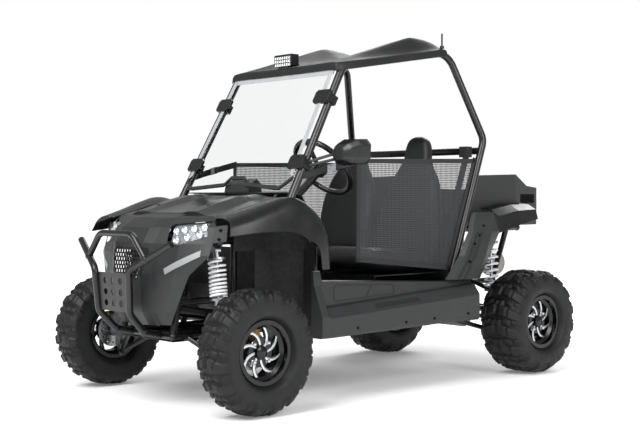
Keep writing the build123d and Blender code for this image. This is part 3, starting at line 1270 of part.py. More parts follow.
if __name__ == "__main__":
    os.makedirs("parts", exist_ok=True)
    for name, shape in pieces.items():
        export_step(shape, f"parts/{name}.step")
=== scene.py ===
import bpy
import numpy as np
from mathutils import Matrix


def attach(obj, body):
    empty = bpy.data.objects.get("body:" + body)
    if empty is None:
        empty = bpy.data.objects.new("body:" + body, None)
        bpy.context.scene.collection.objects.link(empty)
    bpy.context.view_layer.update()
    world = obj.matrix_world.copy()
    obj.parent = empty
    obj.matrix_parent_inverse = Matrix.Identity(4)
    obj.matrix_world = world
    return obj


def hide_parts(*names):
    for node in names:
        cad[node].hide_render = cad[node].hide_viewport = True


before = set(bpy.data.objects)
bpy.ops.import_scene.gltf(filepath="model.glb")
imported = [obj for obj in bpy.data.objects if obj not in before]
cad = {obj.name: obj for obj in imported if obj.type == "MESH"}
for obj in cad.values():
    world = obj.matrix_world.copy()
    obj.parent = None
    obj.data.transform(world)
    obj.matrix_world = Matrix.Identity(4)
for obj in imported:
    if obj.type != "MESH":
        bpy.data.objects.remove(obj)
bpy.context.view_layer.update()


# Main frame, roll cage, arms, carriers, rack and seat frame: bent steel tube, welded and powder coated
# in satin black. The coat has a fine orange peel, and patches that are a little duller.

MM = 0.001


def linear(hexcode):
    """An sRGB hex colour as linear RGBA: c / 12.92 when dark, else ((c + 0.055) / 1.055) ^ 2.4."""
    srgb = np.array([int(hexcode[i:i + 2], 16) for i in (1, 3, 5)]) / 255
    flat = np.where(srgb <= 0.04045, srgb / 12.92, ((srgb + 0.055) / 1.055) ** 2.4)
    return (*flat.tolist(), 1.0)


def add_node(material, kind, values={}, links={}):
    """Adds a shader node, sets its sockets or properties by name, and links its inputs."""
    node = material.node_tree.nodes.new(kind)
    for key, value in values.items():
        if isinstance(key, int) or key in node.inputs:
            node.inputs[key].default_value = value
        else:
            setattr(node, key, value)
    for key, output in links.items():
        material.node_tree.links.new(output, node.inputs[key])
    return node


def new_finish(name, hexcode, roughness, **sockets):
    """A material with its principled shader set to one colour, a roughness and other plain values."""
    material = bpy.data.materials.new(name)
    material.use_nodes = True
    shader = material.node_tree.nodes["Principled BSDF"]
    shader.inputs["Base Color"].default_value = linear(hexcode)
    shader.inputs["Roughness"].default_value = roughness
    for key, value in sockets.items():
        shader.inputs[key.replace("_", " ")].default_value = value
    return material


def weather(material, hexcodes, patch_mm, roughness):
    """Mixes two colours, and two roughnesses, by soft noise patches of a real size."""
    shader = material.node_tree.nodes["Principled BSDF"]
    place = add_node(material, "ShaderNodeTexCoord")
    patches = add_node(material, "ShaderNodeTexNoise", {"Scale": 1 / (patch_mm * MM), "Detail": 4.0},
                       {"Vector": place.outputs["Object"]})
    dark, light = linear(hexcodes[0]), linear(hexcodes[1])
    shade = add_node(material, "ShaderNodeMix", {"data_type": "RGBA", 6: dark, 7: light},
                     {0: patches.outputs["Fac"]})
    limits = {"From Min": 0.3, "From Max": 0.7, "To Min": roughness[0], "To Max": roughness[1]}
    gloss = add_node(material, "ShaderNodeMapRange", limits, {"Value": patches.outputs["Fac"]})
    material.node_tree.links.new(shade.outputs[2], shader.inputs["Base Color"])
    material.node_tree.links.new(gloss.outputs["Result"], shader.inputs["Roughness"])


def grain(material, size_mm, depth_mm, edge_mm=0.0):
    """Bumps the surface by noise of a real size and depth, over edges that are rounded to a real radius."""
    shader = material.node_tree.nodes["Principled BSDF"]
    place = add_node(material, "ShaderNodeTexCoord")
    pits = add_node(material, "ShaderNodeTexNoise", {"Scale": 1 / (size_mm * MM), "Detail": 2.0},
                    {"Vector": place.outputs["Object"]})
    bump = add_node(material, "ShaderNodeBump", {"Distance": depth_mm * MM}, {"Height": pits.outputs["Fac"]})
    if edge_mm:
        edge = add_node(material, "ShaderNodeBevel", {"samples": 4, "Radius": edge_mm * MM})
        material.node_tree.links.new(edge.outputs["Normal"], bump.inputs["Normal"])
    material.node_tree.links.new(bump.outputs["Normal"], shader.inputs["Normal"])


def dress(material, *names):
    """Puts a finish on every material slot of CAD nodes."""
    for name in names:
        mesh = cad[name].data
        mesh.materials.clear()
        mesh.materials.append(material)


powder_coat = new_finish("satin_powder_coat", "#0b0c0d", 0.36, Specular_IOR_Level=0.5)
weather(powder_coat, ("#08090a", "#101112"), 60, (0.26, 0.38))
grain(powder_coat, 2.5, 0.05)
dress(powder_coat, "main_frame", "roll_cage", "front_arms", "rear_arms", "rear_hub_carriers", "steering_rack",
      "front_bumper", "steering_column", "seat_base")


# Floor pan, skid plate and bulkhead: rolled sheet with a dull black coat, carried by the frame's tubes.
# The coat is scuffed grey in soft patches.

floor_coat = new_finish("scuffed_floor_coat", "#1a1b1d", 0.55)
weather(floor_coat, ("#151617", "#242628"), 45, (0.45, 0.68))
grain(floor_coat, 4, 0.2)
dress(floor_coat, "floor_pan", "skid_plate", "seat_bulkhead")


# Engine block, knuckles, drive shafts, tie rods and silencer: bare cast and drawn metal.
# Castings are dull and sandy, shafts and rods are oiled, the silencer is heat stained sheet.

cast_metal = new_finish("sand_cast_alloy", "#6f7276", 0.5, Metallic=0.85)
weather(cast_metal, ("#5d6064", "#84878b"), 30, (0.42, 0.62))
grain(cast_metal, 1.6, 0.12)
dress(cast_metal, "engine", "front_left_knuckle", "front_right_knuckle")
shaft_steel = new_finish("oiled_steel", "#55585c", 0.38, Metallic=1.0)
weather(shaft_steel, ("#4a4d51", "#6b6e72"), 25, (0.3, 0.5))
dress(shaft_steel, "drive_shafts", "tie_rods")
heat_steel = new_finish("heat_stained_steel", "#8d8780", 0.35, Metallic=1.0)
weather(heat_steel, ("#7a6f66", "#a5a6a8"), 50, (0.28, 0.48))
dress(heat_steel, "silencer")


# Dampers and springs: turned alloy bodies and rods, and coils wound from round steel wire and coated white.
# Each replaces the CAD's six-sided coil with the same wire, radius, turns and seats, crowded at the foot.

damper_alloy = new_finish("turned_alloy", "#b9bcc0", 0.3, Metallic=1.0)
weather(damper_alloy, ("#a9acb0", "#c8cbce"), 12, (0.25, 0.4))
dress(damper_alloy, "front_dampers", "rear_dampers")
spring_coat = new_finish("white_spring_coat", "#eceeef", 0.35)
weather(spring_coat, ("#e2e4e6", "#f2f3f4"), 30, (0.3, 0.42))


def grid_quads(rows, columns, wrap_columns=False):
    """Quads (i, j), (i + 1, j), (i + 1, j + 1), (i, j + 1) over points stored row by row."""
    i, j = np.meshgrid(np.arange(rows - 1), np.arange(columns if wrap_columns else columns - 1), indexing="ij")
    after = (j + 1) % columns
    return np.stack([i * columns + j, (i + 1) * columns + j, (i + 1) * columns + after, i * columns + after],
                    axis=-1).reshape(-1, 4)


def add_piece(name, points, faces, material, body, slot_name, sharp=0.6):
    """A new piece from points in millimetres and faces as index lists, smooth but for its sharp edges."""
    mesh = bpy.data.meshes.new(name)
    mesh.from_pydata((np.asarray(points, float) * MM).tolist(), [], faces)
    mesh.polygons.foreach_set("use_smooth", np.ones(len(mesh.polygons), dtype=bool))
    mesh.set_sharp_from_angle(angle=sharp)
    mesh.materials.append(material)
    piece = bpy.data.objects.new(name, mesh)
    bpy.context.scene.collection.objects.link(piece)
    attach(piece, body)
    return piece


def joined(parts):
    """Several (points, faces) as one, with the later faces counted on from the earlier points."""
    starts = np.cumsum([0] + [len(points) for points, faces in parts])
    faces = [[k + int(start) for k in face] for start, (points, group) in zip(starts, parts) for face in group]
    return np.concatenate([points for points, group in parts]), faces


def mirrored(part):
    """The same piece on the other side: y turned over, and the faces with it."""
    points, faces = part
    return points * np.array([1, -1, 1]), [face[::-1] for face in faces]


def coil(low, high, radius, wire, turns, crowd):
    """A wire of circle sections along c + r (e1 cos a + e2 sin a) + w h, with a = 2 pi turns u and
    h = u (1 - crowd) + crowd u^2, so that the turns lie closer at the foot."""
    low, high = np.array(low, float), np.array(high, float)
    way = (high - low) / np.linalg.norm(high - low)
    side = np.cross(way, (1, 0, 0))
    side /= np.linalg.norm(side)
    u = np.linspace(0, 1, turns * 28 + 1)[:, None]
    turn = 2 * np.pi * turns * u
    rise = np.linalg.norm(high - low) - wire
    out = side * np.cos(turn) + np.cross(way, side) * np.sin(turn)
    path = low + way * (wire / 2 + rise * (u * (1 - crowd) + crowd * u**2)) + radius * out
    run = np.gradient(path, axis=0)
    run /= np.linalg.norm(run, axis=1, keepdims=True)
    across = np.cross(run, out)
    t = np.arange(12) * np.pi / 6
    ring = out[:, None] * np.cos(t)[:, None] + across[:, None] * np.sin(t)[:, None]
    points = (path[:, None] + wire / 2 * ring).reshape(-1, 3)
    last = len(points) - 12
    walls = grid_quads(len(path), 12, True)[:, ::-1]
    ends = [list(range(11, -1, -1)), list(range(last, last + 12))]
    return points, walls.tolist() + ends


def between(start, end, share):
    """The point at a share of the way from start to end."""
    return np.array(start) + (np.array(end) - np.array(start)) * share


SPRING_RADIUS, SPRING_WIRE = 35.5, 11
SHOCKS = {
    # axle: lower eye, upper eye, shares of the two spring seats, turns, crowding of the turns
    "front": ((965.7, 395.74, 257.92), (948, 330, 704.8), (0.52, 0.9), 9, 0.3),
    "rear": ((-863.4, 395.7, 253.86), (-905, 340, 735.8), (0.38, 0.9), 7, 0.1),
}
for axle, (eye, top, seats, turns, crowd) in SHOCKS.items():
    foot, head = between(eye, top, seats[0]), between(eye, top, seats[1])
    wire = coil(foot, head, SPRING_RADIUS, SPRING_WIRE, turns, crowd)
    pair = joined([wire, mirrored(wire)])
    springs = add_piece(axle + "_coils", *pair, spring_coat, "chassis", "spring_white")
    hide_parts(axle + "_springs")


# Front brakes: ground steel discs with vent holes, and cast calipers anodised gold.
# The discs are clamped round the hubs, the calipers are seated on the knuckles' brackets.

disc_steel = new_finish("ground_steel", "#9a9da1", 0.28, Metallic=1.0)
weather(disc_steel, ("#8c8f93", "#a8abaf"), 8, (0.22, 0.36))
dress(disc_steel, "front_left_brake_disc", "front_right_brake_disc")
gold = new_finish("gold_anodised_alloy", "#86693a", 0.34, Metallic=1.0)
weather(gold, ("#755a30", "#987a48"), 20, (0.3, 0.42))
dress(gold, "front_left_caliper", "front_right_caliper")


# Rims: rolled alloy barrels in gloss black paint. The curved blades' faces and the four nuts are machined
# silver, and a domed cap closes the hub.

rim_paint = new_finish("gloss_black_wheel_paint", "#060707", 0.22, Specular_IOR_Level=0.4)
weather(rim_paint, ("#050606", "#0a0b0b"), 40, (0.18, 0.28))
machined = new_finish("machined_alloy", "#c9cccf", 0.26, Metallic=1.0)
weather(machined, ("#bcbfc3", "#d6d8da"), 9, (0.2, 0.34))
WHEELS = {
    # wheel: body's axle x, wheel plane y, rim width, tyre width, lug length, lug lean, side
    "front_left": (930, 592.5, 128, 190, 44, 30, 1),
    "front_right": (930, 592.5, 128, 190, 44, 30, -1),
    "rear_left": (-970, 547.5, 200, 258, 50, 36, 1),
    "rear_right": (-970, 547.5, 200, 258, 50, 36, -1),
}
AXLE_Z = 276
dress(rim_paint, *[wheel + "_rim" for wheel in WHEELS])


def slab(grid, thickness):
    """A closed sheet: the outer grid P, the inner grid P - t N with N = Pu x Pv, and quads round its edge."""
    normal = np.cross(np.gradient(grid, axis=0), np.gradient(grid, axis=1))
    normal /= np.linalg.norm(normal, axis=-1, keepdims=True)
    rows, columns = grid.shape[:2]
    count = rows * columns
    top = grid_quads(rows, columns)
    index = np.arange(count).reshape(rows, columns)
    rim = np.concatenate([index[0, :-1], index[:-1, -1], index[-1, :0:-1], index[:0:-1, 0]])
    after = np.roll(rim, -1)
    edge = np.stack([rim, after, after + count, rim + count], axis=-1)
    points = np.concatenate([grid.reshape(-1, 3), (grid - thickness * normal).reshape(-1, 3)])
    return points, np.concatenate([top, top[:, ::-1] + count, edge]).tolist()


def lathe(profile, places, way, sides=16):
    """Turned pieces P = c + w h + r (e1 cos t + e2 sin t) with flat caps, one copy at each place c."""
    places = np.atleast_2d(np.array(places, float))
    way = np.array(way, float) / np.linalg.norm(way)
    e1 = np.cross(way, (0.3, 0.2, 0.93))
    e1 /= np.linalg.norm(e1)
    e2 = np.cross(way, e1)
    radius, height = np.array(profile, float).T
    t = np.arange(sides)[:, None] * 2 * np.pi / sides
    ring = radius[:, None, None] * (e1 * np.cos(t) + e2 * np.sin(t)) + height[:, None, None] * way
    points = (places[:, None, None] + ring).reshape(-1, 3)
    starts = np.arange(len(places)) * len(radius) * sides
    quads = (starts[:, None, None] + grid_quads(len(radius), sides, True)[:, ::-1]).reshape(-1, 4)
    foot = (starts[:, None] + np.arange(sides)[::-1]).tolist()
    head = (starts[:, None] + (len(radius) - 1) * sides + np.arange(sides)).tolist()
    return points, quads.tolist() + foot + head


NUT = [(10.5, -1), (10.5, 3), (8.6, 4), (8.2, 13), (5.5, 16), (0.8, 16.6)]
CAP = [(31, -1), (31, 6), (28, 13), (20, 17.5), (10, 19.4), (1, 20)]
BLADES, BLADE_FOOT, BLADE_TIP, BOLT_RADIUS = 8, 33, 107, 55
blade_radius = np.linspace(BLADE_FOOT, BLADE_TIP, 18)
blade_bow = 3.0 * np.sin((blade_radius - BLADE_FOOT) / (BLADE_TIP - BLADE_FOOT) * np.pi)
blade_angle = np.interp(blade_radius, [30, 71, 108], [2, 18, 34]) - blade_bow
for wheel, (axle_x, wheel_y, rim_width, tyre_width, length, lean, side) in WHEELS.items():
    face_y = wheel_y + rim_width / 2 - 38
    half_width = np.linspace(4.5, 8, 18)
    share = np.linspace(-1, 1, 5)
    angle = np.radians(blade_angle)[:, None] + share * (half_width / blade_radius)[:, None]
    lift = 2.2 - 1.2 * share**2
    blade_face = np.stack([blade_radius[:, None] * np.sin(angle), face_y + lift + 0 * angle,
                           blade_radius[:, None] * np.cos(angle)], axis=-1)
    parts = []
    for turn in np.radians(np.arange(BLADES) * 360 / BLADES):
        spin = np.array([[np.cos(turn), 0, -np.sin(turn)], [0, 1, 0], [np.sin(turn), 0, np.cos(turn)]])
        parts.append(slab((blade_face @ spin)[:, ::-1], 2.0))
    bolt_turn = np.radians(45 + 90 * np.arange(4))
    nut_x, nut_z = BOLT_RADIUS * np.sin(bolt_turn), BOLT_RADIUS * np.cos(bolt_turn)
    nut_places = np.stack([nut_x, np.full(4, face_y), nut_z], axis=-1)
    parts.append(lathe(NUT, nut_places, (0, 1, 0), 12))
    trim, dome = joined(parts), lathe(CAP, [(0, face_y + 1, 0)], (0, 1, 0), 32)
    offset = np.array([axle_x, 0, AXLE_Z])
    trim, dome = (trim[0] + offset, trim[1]), (dome[0] + offset, dome[1])
    if side < 0:
        trim, dome = mirrored(trim), mirrored(dome)
    add_piece(wheel + "_blade_faces", *trim, machined, wheel + "_wheel", "disc_steel")
    add_piece(wheel + "_hub_cap", *dome, rim_paint, wheel + "_wheel", "black_alloy")


# Tyres: moulded black rubber, dull and a little grey from the mould. Each replaces the faceted CAD tyre
# with nearly the same section, lugs in the same places but split in two, and smaller blocks between them.

tyre_rubber = new_finish("tyre_rubber", "#161718", 0.62, Specular_IOR_Level=0.35)
weather(tyre_rubber, ("#0d0e0f", "#161718"), 35, (0.46, 0.66))
grain(tyre_rubber, 3, 0.12)
# The tread's grooves are mixed towards near black by the lugs' height: painted shade in the grooves.
lug_height = add_node(tyre_rubber, "ShaderNodeAttribute", {"attribute_name": "lug_height"})
rubber_shader = tyre_rubber.node_tree.nodes["Principled BSDF"]
rubber_shade = rubber_shader.inputs["Base Color"].links[0].from_socket
painted_tread_shade = add_node(tyre_rubber, "ShaderNodeMix", {"data_type": "RGBA", 6: linear("#040404")},
                  {0: lug_height.outputs["Fac"], 7: rubber_shade})
tyre_rubber.node_tree.links.new(painted_tread_shade.outputs[2], rubber_shader.inputs["Base Color"])


def soften(net, rounds, axis=0):
    """Corner cutting along one axis with the ends kept: 3/4 a + 1/4 b and 1/4 a + 3/4 b on each run."""
    net = np.moveaxis(np.asarray(net, float), axis, 0)
    for _ in range(rounds):
        a, b = net[:-1], net[1:]
        cut = np.stack([0.75 * a + 0.25 * b, 0.25 * a + 0.75 * b], axis=1).reshape(-1, *net.shape[1:])
        net = np.concatenate([net[:1], cut, net[-1:]])
    return np.moveaxis(net, 0, axis)


def smooth_step(x):
    """A soft step 3 x^2 - 2 x^3 from 0 to 1."""
    x = np.clip(x, 0, 1)
    return x * x * (3 - 2 * x)


LUGS, STEPS_PER_LUG, TREAD_RADIUS = 16, 26, 262


def tyre_surface(width, rim_width, length, lean):
    """A closed ring P = (R sin t, a, R cos t), with (a, R) round the section and R raised by the lugs."""
    half, bead = width / 2, rim_width / 2 - 9.3
    wall_line = [
        (0, TREAD_RADIUS), (half * 0.4, 261.5), (half * 0.66, 259), (half * 0.92, 243), (half, 200),
        (half * 0.97, 158), (bead + 4, 145), (bead, 141), (bead, 128),
    ]
    line = soften(wall_line, 3)
    run = np.concatenate([[0], np.cumsum(np.linalg.norm(np.diff(line, axis=0), axis=1))])
    even = np.linspace(0, run[-1], 46)
    outer = np.stack([np.interp(even, run, line[:, 0]), np.interp(even, run, line[:, 1])], axis=-1)
    inner = np.array([(bead - 10, 128), (half - 16, 186), ((half - 14) * 0.6, 246), (0, 248)])
    loop = np.concatenate([outer[:0:-1] * (-1, 1), outer, inner, inner[-2::-1] * (-1, 1)])
    tread = np.concatenate([np.ones(2 * len(outer) - 1), np.zeros(2 * len(inner) - 1)])
    steps = LUGS * STEPS_PER_LUG
    turn = np.arange(steps) * 2 * np.pi / steps
    share = np.abs(loop[:, 0]) / width
    reach = (length + lean) / 2
    standing = np.arcsin(reach / AXLE_Z)
    arc = 2 * np.pi * TREAD_RADIUS / LUGS

    def blocks(first, last, start, size, slant, phase):
        """Rounded blocks over a band of the tread: the nearest edge's distance, softened over 4 mm."""
        shift = slant * ((share - first) / (last - first) - 0.5)
        place = (turn[:, None] - standing) * TREAD_RADIUS - shift[None] - phase * arc - start
        near = size / 2 - np.abs((place + arc / 2) % arc - arc / 2)
        edge = np.minimum(share - first, last - share) * width
        return smooth_step(np.minimum(near, edge[None]) / 4 + 0.2)

    tall = np.maximum.reduce([
        blocks(0.05, 0.245, -lean * 0.27, length, lean * 0.46, 0),
        blocks(0.275, 0.49, lean * 0.25, length, lean * 0.5, 0),
        0.8 * blocks(0.0, 0.12, 0, length * 0.55, 0, 0.5),
        0.8 * blocks(0.17, 0.34, 0, length * 0.5, lean * 0.4, 0.5),
        0.75 * blocks(0.38, 0.485, 0, length * 0.42, 0, 0.5),
    ])
    peak = 275.6 - np.interp(share, [0, 0.33, 0.47, 0.5], [0, 5, 28, 60])
    base = loop[:, 1]
    rise = np.clip(peak - base, 0, 22) * tread * (base > 196)
    ribs = 0.7 * tread * (np.cos((base - 150) / 1.6) > 0) * (np.abs(base - 160) < 9)
    radius = base + tall * rise + ribs
    sine, cosine = np.sin(turn)[:, None], np.cos(turn)[:, None]
    points = np.stack([radius * sine, loop[:, 0] + 0 * radius, radius * cosine], axis=-1)
    rows, columns = points.shape[:2]
    quads = grid_quads(rows + 1, columns, True) % (rows * columns)
    # The lugs' height, which the tyre's finish uses to paint shade into the grooves; 1 off the tread.
    height = np.where((tread > 0) & (base > 215), tall, 1.0)
    return points.reshape(-1, 3), quads.tolist(), height.ravel()


for wheel, (axle_x, wheel_y, rim_width, tyre_width, length, lean, side) in WHEELS.items():
    points, faces, height = tyre_surface(tyre_width, rim_width, length, lean)
    rubber = (points + np.array([axle_x, wheel_y, AXLE_Z]), faces)
    if side < 0:
        rubber = mirrored(rubber)
    tyre = add_piece(wheel + "_rubber", *rubber, tyre_rubber, wheel + "_wheel", "tyre_rubber", 1.2)
    tyre.data.attributes.new("lug_height", "FLOAT", "POINT").data.foreach_set("value", height)
    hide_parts(wheel + "_tyre")


# Hood, nose, fascias, sills and side panels: injection moulded plastic in charcoal, with a leather grain
# that keeps it matt, except on the polished hood. Black screws stand on the sills and the rear panels.

grained_plastic = new_finish("grained_charcoal_plastic", "#202122", 0.46, Specular_IOR_Level=0.45)
weather(grained_plastic, ("#1d1e1f", "#262728"), 90, (0.4, 0.52))
grain(grained_plastic, 1.8, 0.12, 3.0)
dress(grained_plastic, "nose_fascia", "side_fascias", "rocker_panels", "rear_side_panels", "tail_box", "dash")
hood_gloss = new_finish("polished_hood_plastic", "#232425", 0.2, Specular_IOR_Level=0.6)
weather(hood_gloss, ("#1f2021", "#292a2b"), 120, (0.16, 0.26))
grain(hood_gloss, 40, 0.1, 4.0)
dress(hood_gloss, "hood")
SCREW = [(7.5, -2), (7.5, 1.2), (5.6, 1.8), (5.2, 4.6), (3.2, 5.6), (0.6, 5.9)]
screw_black = new_finish("black_screw_steel", "#141516", 0.3, Metallic=0.9)
weather(screw_black, ("#101112", "#1e1f20"), 6, (0.24, 0.4))
sill_screws = [(338, 602, 336), (20, 602, 340), (-180, 602, 344), (-430, 600, 352)]
panel_screws = [(-520, 567, 700), (-560, 562, 742), (-600, 556, 790), (-470, 578, 610)]
side_screws = lathe(SCREW, sill_screws + panel_screws, (0, 1, 0.06), 12)
side_screws = joined([side_screws, mirrored(side_screws)])
add_piece("panel_screws", *side_screws, screw_black, "chassis", "satin_black_steel")


# Panel lines: dark seams round the inner sill boards, the tread on each step and two grooves up each rear
# side panel. Each is a thin dark strip about 1 mm proud of the panel. The grooves' dark is painted shade.


def plate(outline, shift):
    """A closed plate: one flat outline, its copy moved by shift, and quads between them."""
    outline = np.array(outline, float)
    count = len(outline)
    k = np.arange(count)
    after = np.roll(k, -1)
    sides = np.stack([k, k + count, after + count, after], axis=-1)
    faces = [k.tolist(), (k[::-1] + count).tolist()] + sides.tolist()
    return np.concatenate([outline, outline + shift]), faces


SILL = {
    # face: y, and z at the front and the back end, of its lower and its upper edge, then the way it faces
    "step": ((602, 392, 432), (562, 436, 480), (0, 0.74, 0.67)),
    "board": ((540, 444, 487), (534, 552, 514), (0, 1, 0.06)),
}


def on_sill(face, x, rise):
    """A point 1 mm proud of a sill face: edges linear in x from 440 to -300, rise the share between them."""
    lower, upper, out = SILL[face]
    low, high = ([row[0], row[1] + (row[2] - row[1]) * (440 - x) / 740] for row in (lower, upper))
    place = [x, low[0] + (high[0] - low[0]) * rise, low[1] + (high[1] - low[1]) * rise]
    return np.array(place) + np.array(out)


def strip(start, end, out, width):
    """A narrow plate between two points of a surface that faces out."""
    side = np.cross(out, end - start)
    side *= width / 2 / np.linalg.norm(side)
    return plate([start - side, end - side, end + side, start + side], -2.5 * np.array(out, float))


def seam(face, start, end, width):
    """A strip on a sill face between two (x, rise) points."""
    return strip(on_sill(face, *start), on_sill(face, *end), SILL[face][2], width)


# One near black serves the liners, the seams and the painted shade of the rear panels' grooves.
dark_seams_and_line_shade = new_finish("black_seams_and_painted_line_shade", "#070808", 0.7)
weather(dark_seams_and_line_shade, ("#050606", "#0c0d0d"), 20, (0.6, 0.8))
dress(dark_seams_and_line_shade, "wheel_well_liners")
board = [(430, 0.2), (430, 0.72), (415, 0.84), (55, 0.8), (40, 0.68), (40, 0.22), (55, 0.14), (415, 0.14)]
seams = [seam("board", a, b, 4) for a, b in zip(board, board[1:] + board[:1])]
seams += [seam("board", (230, 0.14), (185, 0.82), 4), seam("step", (205, 0.5), (-90, 0.5), 24)]
PANEL_FACE = np.array([
    # z, then x and y of the rear side panel's front and rear corner
    (524, -345, 566, -500, 588), (640, -445, 560, -580, 582), (760, -520, 548, -645, 566),
], float)
# Two dark strips up each rear side panel: painted shade standing for its grooves.
for share in (0.26, 0.5):
    place = PANEL_FACE[:, 1:3] + (PANEL_FACE[:, 3:] - PANEL_FACE[:, 1:3]) * share
    painted_shade_line = np.stack([place[:, 0], place[:, 1] + 5.2, PANEL_FACE[:, 0]], axis=-1)
    seams += [strip(a, b, (0.14, 0.98, 0.1), 16) for a, b in zip(painted_shade_line, painted_shade_line[1:])]
seams = joined(seams + [mirrored(part) for part in seams])
add_piece("sill_seams_and_line_shade", *seams, dark_seams_and_line_shade, "chassis", "black_grained_plastic")


# Wheel well tops: black moulded boards that close each front well from the liner up to the fender.
# They lap the liners' upper edge by 4 mm.

well_plan = soften([(536, 517), (533, 440), (642, 344), (742, 343), (860, 343)], 2)
well_rise = np.linspace(696, 812, 6)
well_grid = np.stack([np.broadcast_to(well_plan[:, :1], (len(well_plan), 6)),
                      np.broadcast_to(well_plan[:, 1:], (len(well_plan), 6)),
                      np.broadcast_to(well_rise, (len(well_plan), 6))], axis=-1)
well_top = slab(well_grid[::-1], 3)
add_piece("well_tops", *joined([well_top, mirrored(well_top)]), dark_seams_and_line_shade, "chassis", "black_smooth_plastic")


# Vent tray: a black board under the hood with an upstand behind its front lip, seen through the vents.
# It lies between the side fascias.

tray_x, tray_y = np.meshgrid(np.linspace(760, 984, 6), np.linspace(-372, 372, 12), indexing="ij")
vent_floor = slab(np.stack([tray_x, tray_y, 842 - 4e-5 * tray_y**2], axis=-1), 3)
lip_y, lip_rise = np.meshgrid(np.linspace(-385, 385, 78), np.linspace(0, 1, 3), indexing="ij")
lip_top = np.interp(np.abs(lip_y), [120, 170, 235, 300, 392], [866, 874, 874, 856, 852]) + 1
vent_lip = slab(np.stack([0 * lip_y + 983, lip_y, 838 + (lip_top - 838) * lip_rise], axis=-1), 3)
add_piece("vent_tray", *joined([vent_floor, vent_lip]), dark_seams_and_line_shade, "chassis", "black_smooth_plastic")


# Fascia trims: a light grey moulded strip on each side fascia, let 1.5 mm into its face.
# Each follows the fascia's fold.

FASCIA = [
    # z, then y and x of the fascia's face from beside the nose out to the wheel arch
    (848, (170.5, 300, 390), (1056, 1010, 990)),
    (806, (170.5, 300, 424), (1126, 1088, 1020)),
    (735, (170.5, 300, 430), (1166, 1126, 1040)),
    (684, (170.5, 300, 430), (1172, 1134, 1060)),
    (598, (170.5, 280, 345), (1178, 1144, 1105)),
    (535, (170.5, 262, 318), (1176, 1146, 1115)),
]


def on_fascia(y, z, out):
    """Points on a side fascia: x is linear in y along each line of the table, and linear in z between them."""
    heights = np.array([row[0] for row in FASCIA], float)
    lines = np.stack([np.interp(y, row[1], row[2]) for row in FASCIA])
    k = np.clip(np.searchsorted(-heights, -z) - 1, 0, len(heights) - 2)
    part = (heights[k] - z) / (heights[k] - heights[k + 1])
    low = np.take_along_axis(lines, k[None], 0)[0]
    high = np.take_along_axis(lines, (k + 1)[None], 0)[0]
    return np.stack([low + (high - low) * part + out, y, z], axis=-1)


def patch(lower, upper, rows, columns):
    """A grid of (y, z) between two open lines, with shares t up from lower to upper and s along both."""
    s = np.linspace(0, 1, columns)
    edges = []
    for line in (np.array(lower, float), np.array(upper, float)):
        run = np.concatenate([[0], np.cumsum(np.linalg.norm(np.diff(line, axis=0), axis=1))])
        at = s * run[-1]
        edges.append(np.stack([np.interp(at, run, line[:, 0]), np.interp(at, run, line[:, 1])], axis=-1))
    t = np.linspace(0, 1, rows)[:, None, None]
    return edges[0] * (1 - t) + edges[1] * t


pale_trim = new_finish("pale_grey_trim", "#8e9194", 0.45)
weather(pale_trim, ("#86898c", "#979a9d"), 40, (0.4, 0.52))
trim_face = patch([(238, 600), (395, 682)], [(230, 625), (392, 708)], 4, 20)
fascia_trim = slab(on_fascia(trim_face[..., 0], trim_face[..., 1], 2.5)[:, ::-1], 4)
trim_pair = joined([fascia_trim, mirrored(fascia_trim)])
add_piece("fascia_trims", *trim_pair, pale_trim, "chassis", "black_grained_plastic")


# Pod plates: small grained plates outboard of each headlamp, moulded like the fascias.
# Two black screws hold each.

pod_edge = np.array([(1022, 425, 812), (1041, 431, 738), (1008, 484, 746), (992, 476, 818)], float)
pod = plate(pod_edge, (-4, -3, 0))
pod_screws = lathe(SCREW, [(1015, 452, 796), (1027, 455, 757)], (0.85, 0.5, 0.1), 12)
add_piece("pod_plates", *joined([pod, mirrored(pod)]), grained_plastic, "chassis", "black_grained_plastic")
pod_screws = joined([pod_screws, mirrored(pod_screws)])
add_piece("pod_screws", *pod_screws, screw_black, "chassis", "satin_black_steel")


# Headlamps: clear polycarbonate lenses over a silver tray with mirrored modules, in place of the solid lamps.
# The lens follows the fascia's face, and the modules stand in two rows behind it.

lens = new_finish("clear_lamp_lens", "#f4f6f8", 0.04, Transmission_Weight=1.0, IOR=1.08)
weather(lens, ("#eef1f4", "#fafbfc"), 60, (0.03, 0.06))
tray = new_finish("silver_lamp_tray", "#74777a", 0.35, Metallic=0.3)
weather(tray, ("#5c5f62", "#8c8f92"), 9, (0.28, 0.45))
silvered = new_finish("silvered_reflector", "#e8ebee", 0.12, Metallic=1.0)
weather(silvered, ("#dfe2e5", "#f2f4f6"), 8, (0.08, 0.18))
lamp_lower = [(235, 735), (280, 728), (396, 769)]
lamp_upper = [(216, 816), (382, 831)]
lamp_face = patch(lamp_lower, lamp_upper, 8, 18)
cover_points = on_fascia(lamp_face[..., 0], lamp_face[..., 1], 0.5)[:, ::-1]
tray_points = on_fascia(lamp_face[..., 0], lamp_face[..., 1], -24)[:, ::-1]
cover_slab, tray_slab = slab(cover_points, 3), slab(tray_points, 3)
cover_pair = joined([cover_slab, mirrored(cover_slab)])
lamp_covers = add_piece("headlamp_covers", *cover_pair, lens, "chassis", "lamp_lens")
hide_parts("headlamps")
add_piece("headlamp_trays", *joined([tray_slab, mirrored(tray_slab)]), tray, "chassis", "black_smooth_plastic")
BOWL = [(15, -3), (15, 6), (13.4, 6.4), (9, 1.5), (5, 0.6), (4.4, 4.5), (0.6, 5.2)]
spots = np.concatenate([patch([(242, 788), (366, 806)], [(242, 789), (366, 807)], 2, 4)[0],
                        patch([(262, 750), (356, 775)], [(262, 751), (356, 776)], 2, 3)[0]])
modules = lathe(BOWL, on_fascia(spots[:, 0], spots[:, 1], -20), (0.93, 0.34, 0.1), 20)
